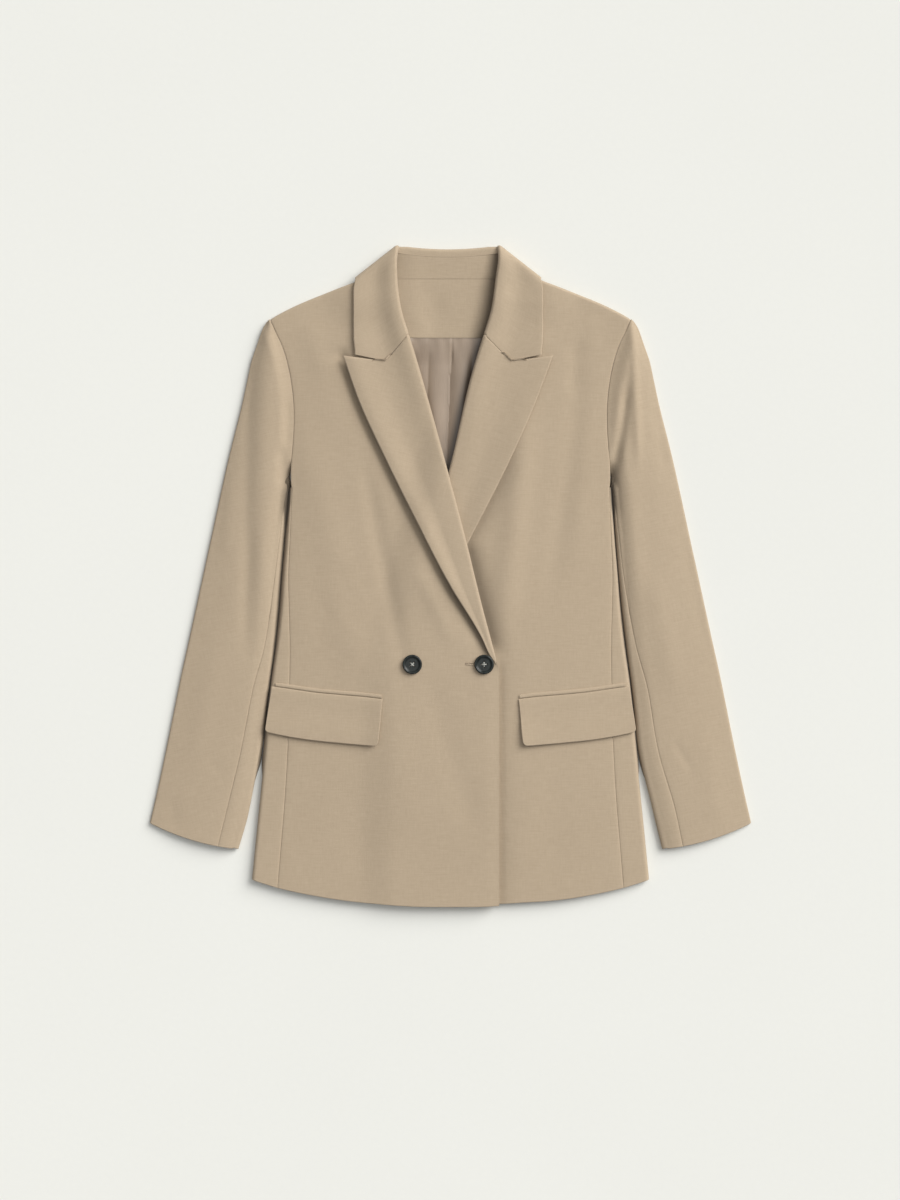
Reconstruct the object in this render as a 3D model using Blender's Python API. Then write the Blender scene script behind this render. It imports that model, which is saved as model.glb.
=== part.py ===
"""A double breasted blazer laid flat on its back, fastened right front over left.

+Y runs from the hem to the collar, +X to the wearer's left, +Z up from the surface it lies on.
The tables are in millimetres and the meshes in metres. Every cloth piece is a grid of points on
its outer face, given its thickness by a Solidify modifier. The body and each sleeve are flattened
tubes: an under layer on the surface, an upper layer close above it, and a round fold at each side.
"""

import math

import bmesh
import bpy
import numpy as np

MM = 0.001

# Cloth walls, in millimetres: cloth with its canvas or lining, and the thinner inside pieces.
FRONT_WALL = 2.6
BACK_WALL = 2.2
SLEEVE_WALL = 2.6
LAPEL_WALL = 2.2
COLLAR_WALL = 2.0
FLAP_WALL = 2.0
WELT_WALL = 1.4
FACING_WALL = 1.4
LINING_WALL = 1.0

# Clearances: half of the space at a seam, and the space between one layer and the next.
HALF_SEAM = 0.15
LAYER_GAP = 0.9
INSIDE_GAP = 0.4

# The whole thickness of the flattened tubes, and how far in their side folds are round.
BODY_HEIGHT = 8.6
HEAD_HEIGHT = 9.2
CUFF_HEIGHT = 7.0
FOLD_REACH = 4.0

# The closure: the neck and front are set a little to the wearer's right of the body's middle.
FRONT_SHIFT = -2.7
OVERLAP = 59.4
BREAK_Y = -98.4
BUTTON_X = 41.8
BUTTON_Y = -103.2
OVERLAP_DIP = 1.6
UNDER_FRONT_SHORT = 3.6
LAPEL_START_Y = -84.0
UNDER_LAPEL_END = -2.0

# The buttons.
BUTTON_RADIUS = 11.35
BUTTON_THICKNESS = 4.0
BUTTON_RIM = 2.2
BUTTON_WELL = 1.1
BUTTON_HOLE_RADIUS = 1.0
BUTTON_HOLE_OFFSET = 2.1
BUTTON_LIFT = 0.5

# The collar: the back neck rises by NECK_LIFT over the collar's fall, which lies on the surface.
NECK_LIFT = 3.0
COLLAR_NOSE_REACH = 4.2
COLLAR_LEG = 4.4
COLLAR_BACK_LEG = 9.6
COLLAR_BACK_HEIGHT = 7.6
COLLAR_TOP_Y = 387.8
COLLAR_SAG = 4.6
COLLAR_CORNER_X = 59.5
COLLAR_SHOULDER = (109.3, 348.0)
FALL_DEPTH = 52.0
NECK_SEAM_Y = 346.4
FACING_EDGE_Y = 277.4
GORGE_TOP = (46.0, 281.2)
NOTCH = (73.0, 250.0)
PEAK = (122.8, 256.8)
LEAF_CORNER = (108.8, 259.4)

# The seams that wrap out of sight.
SHOULDER_SEAM_BACK = 10.0
SLEEVE_BACK_SEAM_IN = 24.0

CLOTH = (0.50, 0.42, 0.31)
CLOTH_UNDER = (0.44, 0.37, 0.27)
LINING = (0.40, 0.34, 0.29)
BUTTON = (0.022, 0.025, 0.023)


def table(columns, *rows):
    """A table of sizes in millimetres, read by column name. Its first column only rises."""
    return dict(zip(columns.split(), np.array(rows, float).T))


# Half width of the body at its side fold, and how far in from it the side panel's two seams run.
BODY_SIDE = table(
    "y half_width seam_in back_seam_in",
    (-355.0, 231.8, 30.0, 62.0),
    (-303.0, 226.8, 29.4, 62.0),
    (-255.0, 222.0, 28.7, 62.0),
    (-200.0, 216.4, 26.4, 62.0),
    (-125.0, 209.0, 21.0, 61.0),
    (-80.0, 202.5, 15.0, 60.0),
    (-40.0, 198.0, 9.5, 58.0),
    (0.0, 195.2, 5.8, 53.0),
    (42.0, 191.9, 5.2, 42.0),
    (103.0, 188.3, 5.0, 7.0),
)

ARMHOLE = table(
    "y half_width",
    (103.0, 183.3),
    (126.0, 187.4),
    (150.0, 184.3),
    (175.0, 182.8),
    (200.0, 183.0),
    (225.0, 185.6),
    (248.0, 190.2),
    (267.0, 196.0),
    (285.0, 204.3),
    (299.5, 210.6),
)

HEM = table(
    "x y",
    (0.0, -386.3),
    (40.0, -385.9),
    (80.0, -383.4),
    (120.0, -379.6),
    (160.0, -373.4),
    (203.0, -364.0),
    (232.0, -355.0),
)

SHOULDER = table(
    "x y",
    (62.0, 361.5),
    (111.0, 343.0),
    (145.4, 330.0),
    (182.3, 314.6),
    (203.0, 304.0),
    (210.6, 299.6),
)

# The roll line, measured out from the middle front towards the side that the lapel is on.
ROLL = table(
    "y out",
    (-98.4, -54.8),
    (-80.8, -51.0),
    (-30.5, -38.3),
    (43.2, -20.3),
    (124.6, 1.2),
    (203.2, 22.6),
    (261.0, 39.4),
    (283.5, 46.4),
    (307.7, 53.8),
    (330.0, 57.6),
    (384.0, 60.0),
)

# The lapels' outer edges. The lower one is drawn in a little where the upper front crosses it.
LAPEL_EDGE = table(
    "y upper lower",
    (-98.4, -52.6, -60.0),
    (-73.5, -38.3, -47.0),
    (-12.6, -0.2, -9.0),
    (63.5, 40.4, 32.0),
    (137.0, 75.8, 69.0),
    (200.0, 102.2, 98.0),
    (256.8, 122.8, 121.6),
)

# One row of the front for each line: where it meets the side or armhole, and the roll or edge.
FRONT_ROWS = table(
    "outer_y inner_y",
    (-357.0, -386.0),
    (-295.0, -310.0),
    (-230.0, -235.0),
    (-165.0, -165.0),
    (-110.0, -106.0),
    (-84.0, -88.0),
    (-52.0, -50.0),
    (-16.0, -12.0),
    (25.0, 28.0),
    (65.0, 70.0),
    (103.0, 110.0),
    (126.0, 142.0),
    (150.0, 172.0),
    (175.0, 202.0),
    (200.0, 232.0),
    (225.0, 260.0),
    (248.0, 285.0),
    (267.0, 308.0),
    (285.0, 335.0),
)
UNDERARM_ROW = 10

# One row of the sleeve for each line, from the shoulder to the cuff: its outer fold, its inner
# side (the armhole, then the inner fold on the right and on the left sleeve), and its front seam.
SLEEVE_ROWS = table(
    "step outer_x outer_y inner_y right_x left_x seam_in",
    (0, 214.6, 297.4, 299.5, 210.6, 210.6, 0.0),
    (1, 219.8, 288.0, 285.0, 204.3, 204.3, 0.0),
    (2, 226.2, 270.0, 267.0, 196.0, 196.0, 0.0),
    (3, 233.0, 250.0, 248.0, 190.2, 190.2, 0.0),
    (4, 237.8, 228.0, 225.0, 185.6, 185.6, 0.0),
    (5, 243.4, 202.0, 200.0, 183.0, 183.0, 0.0),
    (6, 249.3, 178.0, 175.0, 182.8, 182.8, 0.0),
    (7, 255.4, 154.0, 150.0, 184.3, 184.3, 0.0),
    (8, 261.0, 131.0, 126.0, 187.4, 187.4, 0.0),
    (9, 265.7, 110.0, 103.0, 189.2, 189.2, 0.0),
    (10, 269.6, 92.0, 88.0, 193.4, 190.6, 6.6),
    (11, 278.2, 52.0, 50.0, 195.2, 192.4, 6.0),
    (12, 290.4, -4.0, -8.0, 202.4, 196.2, 6.0),
    (13, 304.7, -70.0, -80.0, 207.1, 203.4, 9.5),
    (14, 316.2, -122.0, -135.0, 214.4, 211.0, 17.0),
    (15, 329.5, -188.0, -208.0, 224.6, 218.8, 21.5),
    (16, 342.6, -250.0, -275.0, 235.3, 236.4, 25.5),
    (17, 351.6, -289.1, -319.5, 247.6, 247.2, 24.0),
)
UNDERARM_STEP = 9
FOLD_STEPS = 10
UNDERARM_EASE = 0.5
CUFF_BOW = 4.8

# The largest soft folds: shallow troughs in the upper layer, uneven in length and depth.
TROUGHS = table(
    "x y reach width turn depth",
    (-262.0, 120.0, 120.0, 16.0, 12.0, 1.1),
    (-150.0, 120.0, 110.0, 26.0, 4.0, 0.9),
    (-120.0, -290.0, 90.0, 24.0, -6.0, 0.8),
    (-246.0, -120.0, 100.0, 16.0, 12.0, 0.9),
    (140.0, 90.0, 120.0, 26.0, -5.0, 1.0),
    (130.0, -300.0, 80.0, 24.0, 5.0, 0.7),
    (244.0, 60.0, 150.0, 16.0, -13.0, 1.2),
    (290.0, -150.0, 90.0, 14.0, -12.0, 0.8),
)

# The pocket flaps on the right-hand side; the left-hand ones are the same, mirrored.
FLAP = table(
    "across x top_y bottom_y",
    (0.0, 78.4, -143.6, -193.0),
    (1.0, 81.0, -143.2, -197.6),
    (2.0, 96.0, -141.6, -197.4),
    (3.0, 124.0, -139.2, -194.8),
    (4.0, 160.0, -135.8, -191.0),
    (5.0, 189.0, -131.6, -186.2),
    (6.0, 204.0, -130.0, -183.6),
    (7.0, 209.0, -129.6, -182.0),
    (8.0, 211.6, -129.4, -178.0),
)
FLAP_LEAN = 5.0
FLAP_ROWS = 3
FLAP_EDGE_LIFT = 1.4
WELT_WIDTH = 4.8
WELT_IN = 1.2


def read(sizes, column, at):
    """The value of a column at places along the table's first column, on a smooth curve."""
    keys = next(iter(sizes.values()))
    values = sizes[column]
    slopes = np.gradient(values, keys)
    at = np.clip(np.asarray(at, float), keys[0], keys[-1])
    low = np.clip(np.searchsorted(keys, at) - 1, 0, len(keys) - 2)
    span = keys[low + 1] - keys[low]
    part = (at - keys[low]) / span
    start = values[low] * (1 + 2 * part) * (1 - part) ** 2
    start = start + slopes[low] * span * part * (1 - part) ** 2
    end = values[low + 1] * part**2 * (3 - 2 * part)
    end = end + slopes[low + 1] * span * part**2 * (part - 1)
    return start + end


def ease(value):
    """0 below 0, 1 above 1, and a smooth rise between."""
    value = np.clip(value, 0.0, 1.0)
    return value * value * (3.0 - 2.0 * value)


def mix(start, end, part):
    return np.asarray(start, float) * (1.0 - part) + np.asarray(end, float) * part


# Heights of the layers


def neck_lift(x, y):
    """How far the back neck and what lies on it rise over the collar's fall."""
    return NECK_LIFT * ease((y - 286.0) / 40.0) * ease((152.0 - abs(x)) / 36.0)


def troughs(x, y):
    total = 0.0
    for place in range(len(TROUGHS["x"])):
        fold = {name: values[place] for name, values in TROUGHS.items()}
        turn = math.radians(fold["turn"])
        along = (x - fold["x"]) * math.sin(turn) + (y - fold["y"]) * math.cos(turn)
        across = (x - fold["x"]) * math.cos(turn) - (y - fold["y"]) * math.sin(turn)
        across = across / fold["width"]
        total += fold["depth"] * math.exp(-across * across) * ease(1.2 - abs(along) / fold["reach"])
    return total


def side_distance(x, y):
    """How far in from the body's side fold a point is; the fold starts at the underarm."""
    underarm = BODY_SIDE["y"][-1]
    inside = float(read(BODY_SIDE, "half_width", y)) - abs(x)
    return inside if y <= underarm else math.hypot(inside, y - underarm)


def rounded(low, high, distance):
    """The height of the upper layer's outer face at a distance in from a round fold."""
    middle = (low + high) / 2
    if distance >= FOLD_REACH:
        return high
    back = 1.0 - max(distance, 0.0) / FOLD_REACH
    return middle + (high - middle) * math.sqrt(max(0.0, 1.0 - back * back))


def under_inner(y):
    """The under front's edge or roll line, measured to the wearer's left of the middle front."""
    corner = ease((y - BREAK_Y + 13.0) / 13.0)
    return float(mix(-OVERLAP, read(ROLL, "out", y), corner))


def dip_above(y):
    return float(ease((130.0 - y) / 45.0))


def under_front_height(x, y):
    """Outer face of the front that lies beneath at the closure (the wearer's left)."""
    closure = ease((96.0 - (x - FRONT_SHIFT)) / 32.0) * dip_above(y)
    return BODY_HEIGHT + neck_lift(x, y) - OVERLAP_DIP * closure - troughs(x, y)


def top_front_height(x, y):
    """Outer face of the front that lies over it, raised where the other front and lapel are."""
    across = x - FRONT_SHIFT - under_inner(y)
    over = float(ease((across + 50.0) / 45.0))
    over_lapel = over * float(ease((y + 70.0) / 60.0))
    rise = over * (LAYER_GAP + FRONT_WALL - OVERLAP_DIP * dip_above(y))
    rise += over_lapel * (LAPEL_WALL + LAYER_GAP)
    return BODY_HEIGHT + neck_lift(x, y) + rise - troughs(x, y) * (1.0 - over)


def front_height(side, x, y):
    """The front's outer face at a point on the right (-1) or left (+1) side, without its folds."""
    return top_front_height(x, y) if side < 0 else under_front_height(x, y)


def back_height(x, y):
    """The back's outer face, which lies on the surface."""
    return neck_lift(x, y)


# Making a piece from a grid of points


def arc(low, high, edge, inward, reach, start, end, count):
    """Points round a fold, from the start angle to the end angle, 90 being its top."""
    middle = (low + high) / 2
    points = []
    for step in range(count + 1):
        angle = math.radians(start + (end - start) * step / count)
        spot = np.array(edge) + np.array(inward) * reach * (1.0 - math.cos(angle))
        points.append((spot[0], spot[1], middle + (high - middle) * math.sin(angle)))
    return points


def resample(path, stops, counts):
    """Points along a path, in stretches that end at given lengths and have given counts."""
    path = np.array(path, float)
    steps = np.linalg.norm(np.diff(path, axis=0), axis=1)
    lengths = np.concatenate([[0.0], np.cumsum(steps)])
    wanted = [0.0]
    for stop, count in zip(list(stops) + [lengths[-1]], counts):
        start = wanted[-1]
        wanted += [start + (stop - start) * step / count for step in range(1, count + 1)]
    return np.stack([np.interp(wanted, lengths, path[:, axis]) for axis in range(3)], axis=1)


def plain_material(name, colour, roughness):
    material = bpy.data.materials.new(name)
    material.use_nodes = True
    shader = material.node_tree.nodes["Principled BSDF"]
    shader.inputs["Base Color"].default_value = (*colour, 1.0)
    shader.inputs["Roughness"].default_value = roughness
    shader.inputs["Metallic"].default_value = 0.0
    material.diffuse_color = (*colour, 1.0)
    return material


def add_object(name, mesh_data, colour, roughness):
    mesh = bpy.data.meshes.new(name)
    mesh_data.to_mesh(mesh)
    mesh_data.free()
    mesh.shade_smooth()
    mesh.set_sharp_from_angle(angle=math.radians(50))
    mesh.materials.append(plain_material(name, colour, roughness))
    piece = bpy.data.objects.new(name, mesh)
    bpy.context.scene.collection.objects.link(piece)
    return piece


def cloth(name, rows, wall, colour=CLOTH, roughness=0.85):
    """A wall whose outer face is the grid of points in rows, seen from outside."""
    rows = np.array(rows, float)
    last_row, last_column = rows.shape[0] - 1, rows.shape[1] - 1
    sheet = bmesh.new()
    bmesh.ops.create_grid(sheet, x_segments=last_column, y_segments=last_row, size=0.5)
    for corner in sheet.verts:
        column = round((corner.co.x + 0.5) * last_column)
        row = round((corner.co.y + 0.5) * last_row)
        corner.co = rows[row, column] * MM
    piece = add_object(name, sheet, colour, roughness)
    thickness = piece.modifiers.new("wall", "SOLIDIFY")
    thickness.thickness = wall * MM
    thickness.offset = -1.0
    return piece


def on_side(side, rows):
    """A piece drawn on the wearer's left, turned over to the right where side is -1."""
    rows = np.array(rows, float)
    if side < 0:
        rows = rows[:, ::-1] * np.array([-1.0, 1.0, 1.0])
    return rows


# Body


def front_outer(y):
    """Distance from the middle to the front's outer boundary: the side seam, then the armhole."""
    side = float(read(BODY_SIDE, "half_width", y) - read(BODY_SIDE, "seam_in", y))
    armhole = float(read(ARMHOLE, "half_width", y))
    return side if y <= BODY_SIDE["y"][-1] else armhole


def front_inner(side, y):
    """The front's inner boundary in x, on the side given: its edge, then just inside the roll."""
    inset = (COLLAR_LEG + 1.0) * float(ease((y - BREAK_Y) / 9.0))
    return FRONT_SHIFT * side + under_inner(y) + inset


def front(side):
    """A front, from the hem to a shoulder seam that lies behind the shoulder fold."""
    columns = np.array([0.0, 0.1, 0.22, 0.34, 0.46, 0.59, 0.72, 0.85, 0.95, 1.0])
    grid = []
    for outer_y, inner_y in zip(FRONT_ROWS["outer_y"], FRONT_ROWS["inner_y"]):
        inner = (front_inner(side, inner_y), inner_y)
        outer = (front_outer(outer_y) - HALF_SEAM, outer_y)
        line = [mix(inner, outer, part) for part in columns]
        if outer_y == FRONT_ROWS["outer_y"][0]:
            line = [(x, float(read(HEM, "y", abs(x)))) for x, _ in line]
            if side > 0:
                short = [UNDER_FRONT_SHORT * float(ease((150.0 - x) / 80.0)) for x, _ in line]
                line = [(x, y + raised) for (x, y), raised in zip(line, short)]
        row = []
        for x, y in line:
            height = front_height(side, x * side, y)
            row.append((x, y, rounded(0.0, height, side_distance(x, y))))
        grid.append(row)
    wraps = []
    start_row = grid[-1]
    for start, part in zip(start_row, columns):
        neck_x = COLLAR_CORNER_X + COLLAR_LEG + 1.0 + FRONT_SHIFT * side
        x = float(mix(neck_x, SHOULDER["x"][-1] - HALF_SEAM, part))
        edge = (x, float(read(SHOULDER, "y", x)))
        inward = np.array(start[:2]) - np.array(edge)
        inward = inward / np.linalg.norm(inward)
        low = neck_lift(*edge)
        fold = arc(low, low + BODY_HEIGHT, edge, inward, FOLD_REACH, 90.0, -90.0, 4)
        end = np.array(edge) + inward * SHOULDER_SEAM_BACK
        wraps.append(fold + [(end[0], end[1], back_height(*end))])
    grid += [list(row) for row in zip(*wraps)]
    name = "front_right" if side < 0 else "front_left"
    cloth(name, on_side(side, grid), FRONT_WALL)


def side_panel(side):
    """The panel that wraps round the side fold, from the front's seam to the back's."""
    grid = []
    for outer_y in FRONT_ROWS["outer_y"][: UNDERARM_ROW + 1]:
        seam_x = front_outer(outer_y) + HALF_SEAM
        edge_x = float(read(BODY_SIDE, "half_width", outer_y))
        inside = edge_x - seam_x
        height = front_height(side, seam_x * side, outer_y)
        start = math.degrees(math.acos(1.0 - min(inside, FOLD_REACH) / FOLD_REACH))
        fold = arc(0.0, height, (edge_x, outer_y), (-1.0, 0.0), FOLD_REACH, start, -90.0, 24)
        path = [(seam_x, outer_y, height)] if inside > FOLD_REACH else []
        path += fold
        turned = float(np.linalg.norm(np.diff(np.array(path), axis=0), axis=1).sum())
        back_x = edge_x - float(read(BODY_SIDE, "back_seam_in", outer_y))
        path.append((back_x + HALF_SEAM, outer_y, 0.0))
        row = resample(path, [turned], [7, 2])
        if outer_y == FRONT_ROWS["outer_y"][0]:
            row[:, 1] = read(HEM, "y", row[:, 0])
        grid.append(row)
    name = "side_panel_right" if side < 0 else "side_panel_left"
    cloth(name, on_side(side, grid), BACK_WALL)


def back_neck_y(x):
    """The back neckline, from the middle back up to the shoulder."""
    return NECK_SEAM_Y + 15.0 * (abs(x) / 66.0) ** 2


def back(side):
    """Half of the back, from the seam down its middle to the side seam and the armhole."""
    columns = np.linspace(0.0, 1.0, 5)
    grid = []
    for outer_y in FRONT_ROWS["outer_y"]:
        if outer_y <= BODY_SIDE["y"][-1]:
            edge_x = float(read(BODY_SIDE, "half_width", outer_y))
            outer_x = edge_x - float(read(BODY_SIDE, "back_seam_in", outer_y)) - HALF_SEAM
        else:
            outer_x = float(read(ARMHOLE, "half_width", outer_y)) - HALF_SEAM
        tilt = ease((outer_y - 150.0) / 135.0) * 30.0
        row = []
        for part in columns:
            x = float(mix(outer_x, HALF_SEAM, part))
            y = outer_y + tilt * part
            if outer_y == FRONT_ROWS["outer_y"][0]:
                y = float(read(HEM, "y", x)) + 1.5
            row.append((x, y, back_height(x, y)))
        grid.append(row)
    last = []
    for part in columns:
        x = float(mix(SHOULDER["x"][-1] - 5.2, HALF_SEAM, part))
        shoulder = float(read(SHOULDER, "y", max(x, 66.0))) - SHOULDER_SEAM_BACK * 1.09 - 1.2
        y = min(shoulder, back_neck_y(x) - 8.0) if x < 66.0 else shoulder
        last.append((x, y, back_height(x, y)))
    grid.append(last)
    name = "back_right" if side < 0 else "back_left"
    cloth(name, on_side(side, grid), BACK_WALL, CLOTH_UNDER)


# Sleeves


def sleeve_loop(side, step):
    """The section of a sleeve: its path, and the lengths along it of the two folds' ends.

    It runs from the inner side over the top to the outer fold, and back underneath."""
    row = {name: values[step] for name, values in SLEEVE_ROWS.items()}
    inner_x = row["right_x"] if side < 0 else row["left_x"]
    inner_y = row["inner_y"]
    if step <= UNDERARM_STEP:
        inner_x = inner_x + HALF_SEAM
    inner = np.array([inner_x, inner_y])
    outer = np.array([row["outer_x"], row["outer_y"]])
    width = float(np.linalg.norm(outer - inner))
    across = (outer - inner) / width
    head = float(ease((UNDERARM_STEP + 4 - step) / UNDERARM_STEP))
    last_step = len(SLEEVE_ROWS["step"]) - 1
    lower = mix(BODY_HEIGHT, CUFF_HEIGHT, ease((step - UNDERARM_STEP) / (last_step - UNDERARM_STEP)))
    high = float(mix(lower, HEAD_HEIGHT, head))
    reach = min(FOLD_REACH, 0.8 * width)

    def top(point):
        return high - troughs(point[0] * side, point[1])

    def bowed(point, part):
        bow = 4.0 * part * (1.0 - part) * CUFF_BOW * float(step == last_step)
        return np.array([point[0] + bow * 0.28, point[1] - bow * 0.96])

    path = []
    folded = step > UNDERARM_STEP
    if folded:
        path += arc(0.0, top(inner), inner, across, reach, 0.0, 90.0, FOLD_STEPS)
    begin = reach if folded else 0.0
    for distance in np.linspace(begin, width - reach, 9)[1 if folded else 0 :]:
        spot = bowed(inner + across * distance, distance / width)
        path.append((spot[0], spot[1], top(spot)))
    round_start = len(path) - 1
    edge = bowed(outer, 1.0)
    path += arc(0.0, top(outer), edge, -across, reach, 90.0, -90.0, 24)[1:]
    round_end = len(path) - 1
    for distance in np.linspace(width - reach, begin, 9)[1:]:
        spot = bowed(inner + across * distance, distance / width)
        path.append((spot[0], spot[1], 0.0))
    flat_end = len(path) - 1
    if folded:
        path += arc(0.0, top(inner), inner, across, reach, -90.0, 0.0, FOLD_STEPS)[1:]
    lengths = np.linalg.norm(np.diff(np.array(path), axis=0), axis=1)
    lengths = np.concatenate([[0.0], np.cumsum(lengths)])
    return path, lengths, round_start, round_end, flat_end


def cut_path(path, lengths, start, end):
    """The stretch of a path between two lengths along it."""
    path = np.array(path, float)
    inside = (lengths > start + 1e-6) & (lengths < end - 1e-6)
    wanted = np.concatenate([[start], lengths[inside], [end]])
    return np.stack([np.interp(wanted, lengths, path[:, axis]) for axis in range(3)], axis=1)


def sleeve(side):
    top_grid, under_grid = [], []
    for step in reversed(range(len(SLEEVE_ROWS["step"]))):
        path, lengths, round_start, round_end, flat_end = sleeve_loop(side, step)
        folded = step > UNDERARM_STEP
        fold_end = lengths[FOLD_STEPS]
        seam = fold_end + SLEEVE_ROWS["seam_in"][step] - FOLD_REACH if folded else 0.0
        half = HALF_SEAM if folded else 0.0
        half += UNDERARM_EASE * float(step in (UNDERARM_STEP, UNDERARM_STEP + 1))
        width = lengths[flat_end] - lengths[round_end]
        back_seam = lengths[round_end] + min(SLEEVE_BACK_SEAM_IN, 0.4 * width)
        start = seam + half
        over = cut_path(path, lengths, start, back_seam - HALF_SEAM)
        stops = [lengths[round_start] - start, lengths[round_end] - start]
        top_grid.append(resample(over, stops, [5, 5, 1]))
        under = cut_path(path, lengths, back_seam + HALF_SEAM, lengths[-1])
        flat_stop = lengths[flat_end] - back_seam - HALF_SEAM
        if folded:
            round_stop = lengths[-1] - back_seam - HALF_SEAM + fold_end
            strip = cut_path(path, lengths, 0.0, seam - half)
            under = np.concatenate([under, strip[1:]])
            under_grid.append(resample(under, [flat_stop, round_stop], [3, 5, 1]))
        else:
            reach = min(14.0, 0.3 * flat_stop)
            under_grid.append(resample(under, [flat_stop - reach], [3, 6]))
    side_name = "right" if side < 0 else "left"
    cloth("top_sleeve_" + side_name, on_side(side, top_grid), SLEEVE_WALL)
    cloth("under_sleeve_" + side_name, on_side(side, under_grid), SLEEVE_WALL, CLOTH_UNDER)


# Lapels and collar


def turned_section(roll, outer, low, leaf_gap, wall, leg, heights, stops):
    """A section that turns at the roll line: a short leg under it, a round nose, and the leaf.

    low is the height of the leg's outer face, and heights gives the layer the leaf lies on."""
    across = np.array(outer) - np.array(roll)
    width = float(np.linalg.norm(across))
    across = across / max(width, 1e-6)
    reach = min(COLLAR_NOSE_REACH, 0.45 * width)
    high = heights(*(np.array(roll) + across * reach)) + leaf_gap(0.0) + wall
    leg = min(leg, 0.8 * width)
    spot = np.array(roll) + across * leg
    row = [(spot[0], spot[1], low)]
    row += arc(low, high, roll, across, reach, -90.0, 90.0, 4)
    for part in stops:
        distance = reach + (width - reach) * part
        spot = np.array(roll) + across * distance
        row.append((spot[0], spot[1], heights(*spot) + leaf_gap(part) + wall))
    return row


def bent(row, roll, corner, outer, amount, skipped):
    """Draws the leaf's points in plan towards a line that bends at a corner."""
    first = np.array(corner) - np.array(roll)
    second = np.array(outer) - np.array(corner)
    first_length, second_length = np.linalg.norm(first), np.linalg.norm(second)
    total = first_length + second_length
    width = float(np.linalg.norm(np.array(outer) - np.array(roll)))
    moved = list(row[:skipped])
    for x, y, z in row[skipped:]:
        part = min(1.0, float(np.linalg.norm(np.array([x, y]) - np.array(roll))) / width)
        travelled = part * total
        if travelled <= first_length:
            spot = np.array(roll) + first * travelled / first_length
        else:
            spot = np.array(corner) + second * (travelled - first_length) / second_length
        spot = mix((x, y), spot, amount)
        moved.append((spot[0], spot[1], z))
    return moved


def lapel(side):
    """The facing as it shows: from the roll line out to the lapel's edge, its peak and gorge."""
    column = "upper" if side < 0 else "lower"
    start_y = LAPEL_START_Y if side < 0 else UNDER_LAPEL_END
    roll_ys = np.linspace(start_y, GORGE_TOP[1] - 1.0, 14)
    edge_ys = np.linspace(start_y - 4.0 * (side < 0), PEAK[1] - 0.6, 14)
    stops = [0.15, 0.35, 0.57, 0.8, 1.0]
    grid = []

    def heights(x, y):
        return front_height(side, (x + FRONT_SHIFT * side) * side, y)

    for place, (roll_y, edge_y) in enumerate(zip(roll_ys, edge_ys)):
        up = place / (len(roll_ys) - 1)
        roll = np.array([float(read(ROLL, "out", roll_y)), roll_y])
        outer = np.array([float(read(LAPEL_EDGE, column, edge_y)), edge_y])
        covered = 0.0 if side < 0 else float(ease((95.0 - roll_y) / 60.0))

        def leaf_gap(part, up=up, covered=covered):
            lifted = LAYER_GAP + 0.5 + 1.6 * ease(up * 2.0) * ease(part)
            return float(mix(lifted, LAYER_GAP, covered))

        low = heights(*roll) - FRONT_WALL
        row = turned_section(roll, outer, low, leaf_gap, LAPEL_WALL, COLLAR_LEG, heights, stops)
        bend = max(0.0, (up - 0.72) / 0.28) ** 2
        if bend > 0.0:
            notch = np.array(NOTCH) - np.array([0.0, 0.6])
            row = bent(row, roll, notch, outer, bend, 6)
        grid.append([(x + FRONT_SHIFT * side, y, z) for x, y, z in row])
    name = "lapel_right" if side < 0 else "lapel_left"
    cloth(name, on_side(side, grid), LAPEL_WALL)


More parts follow.
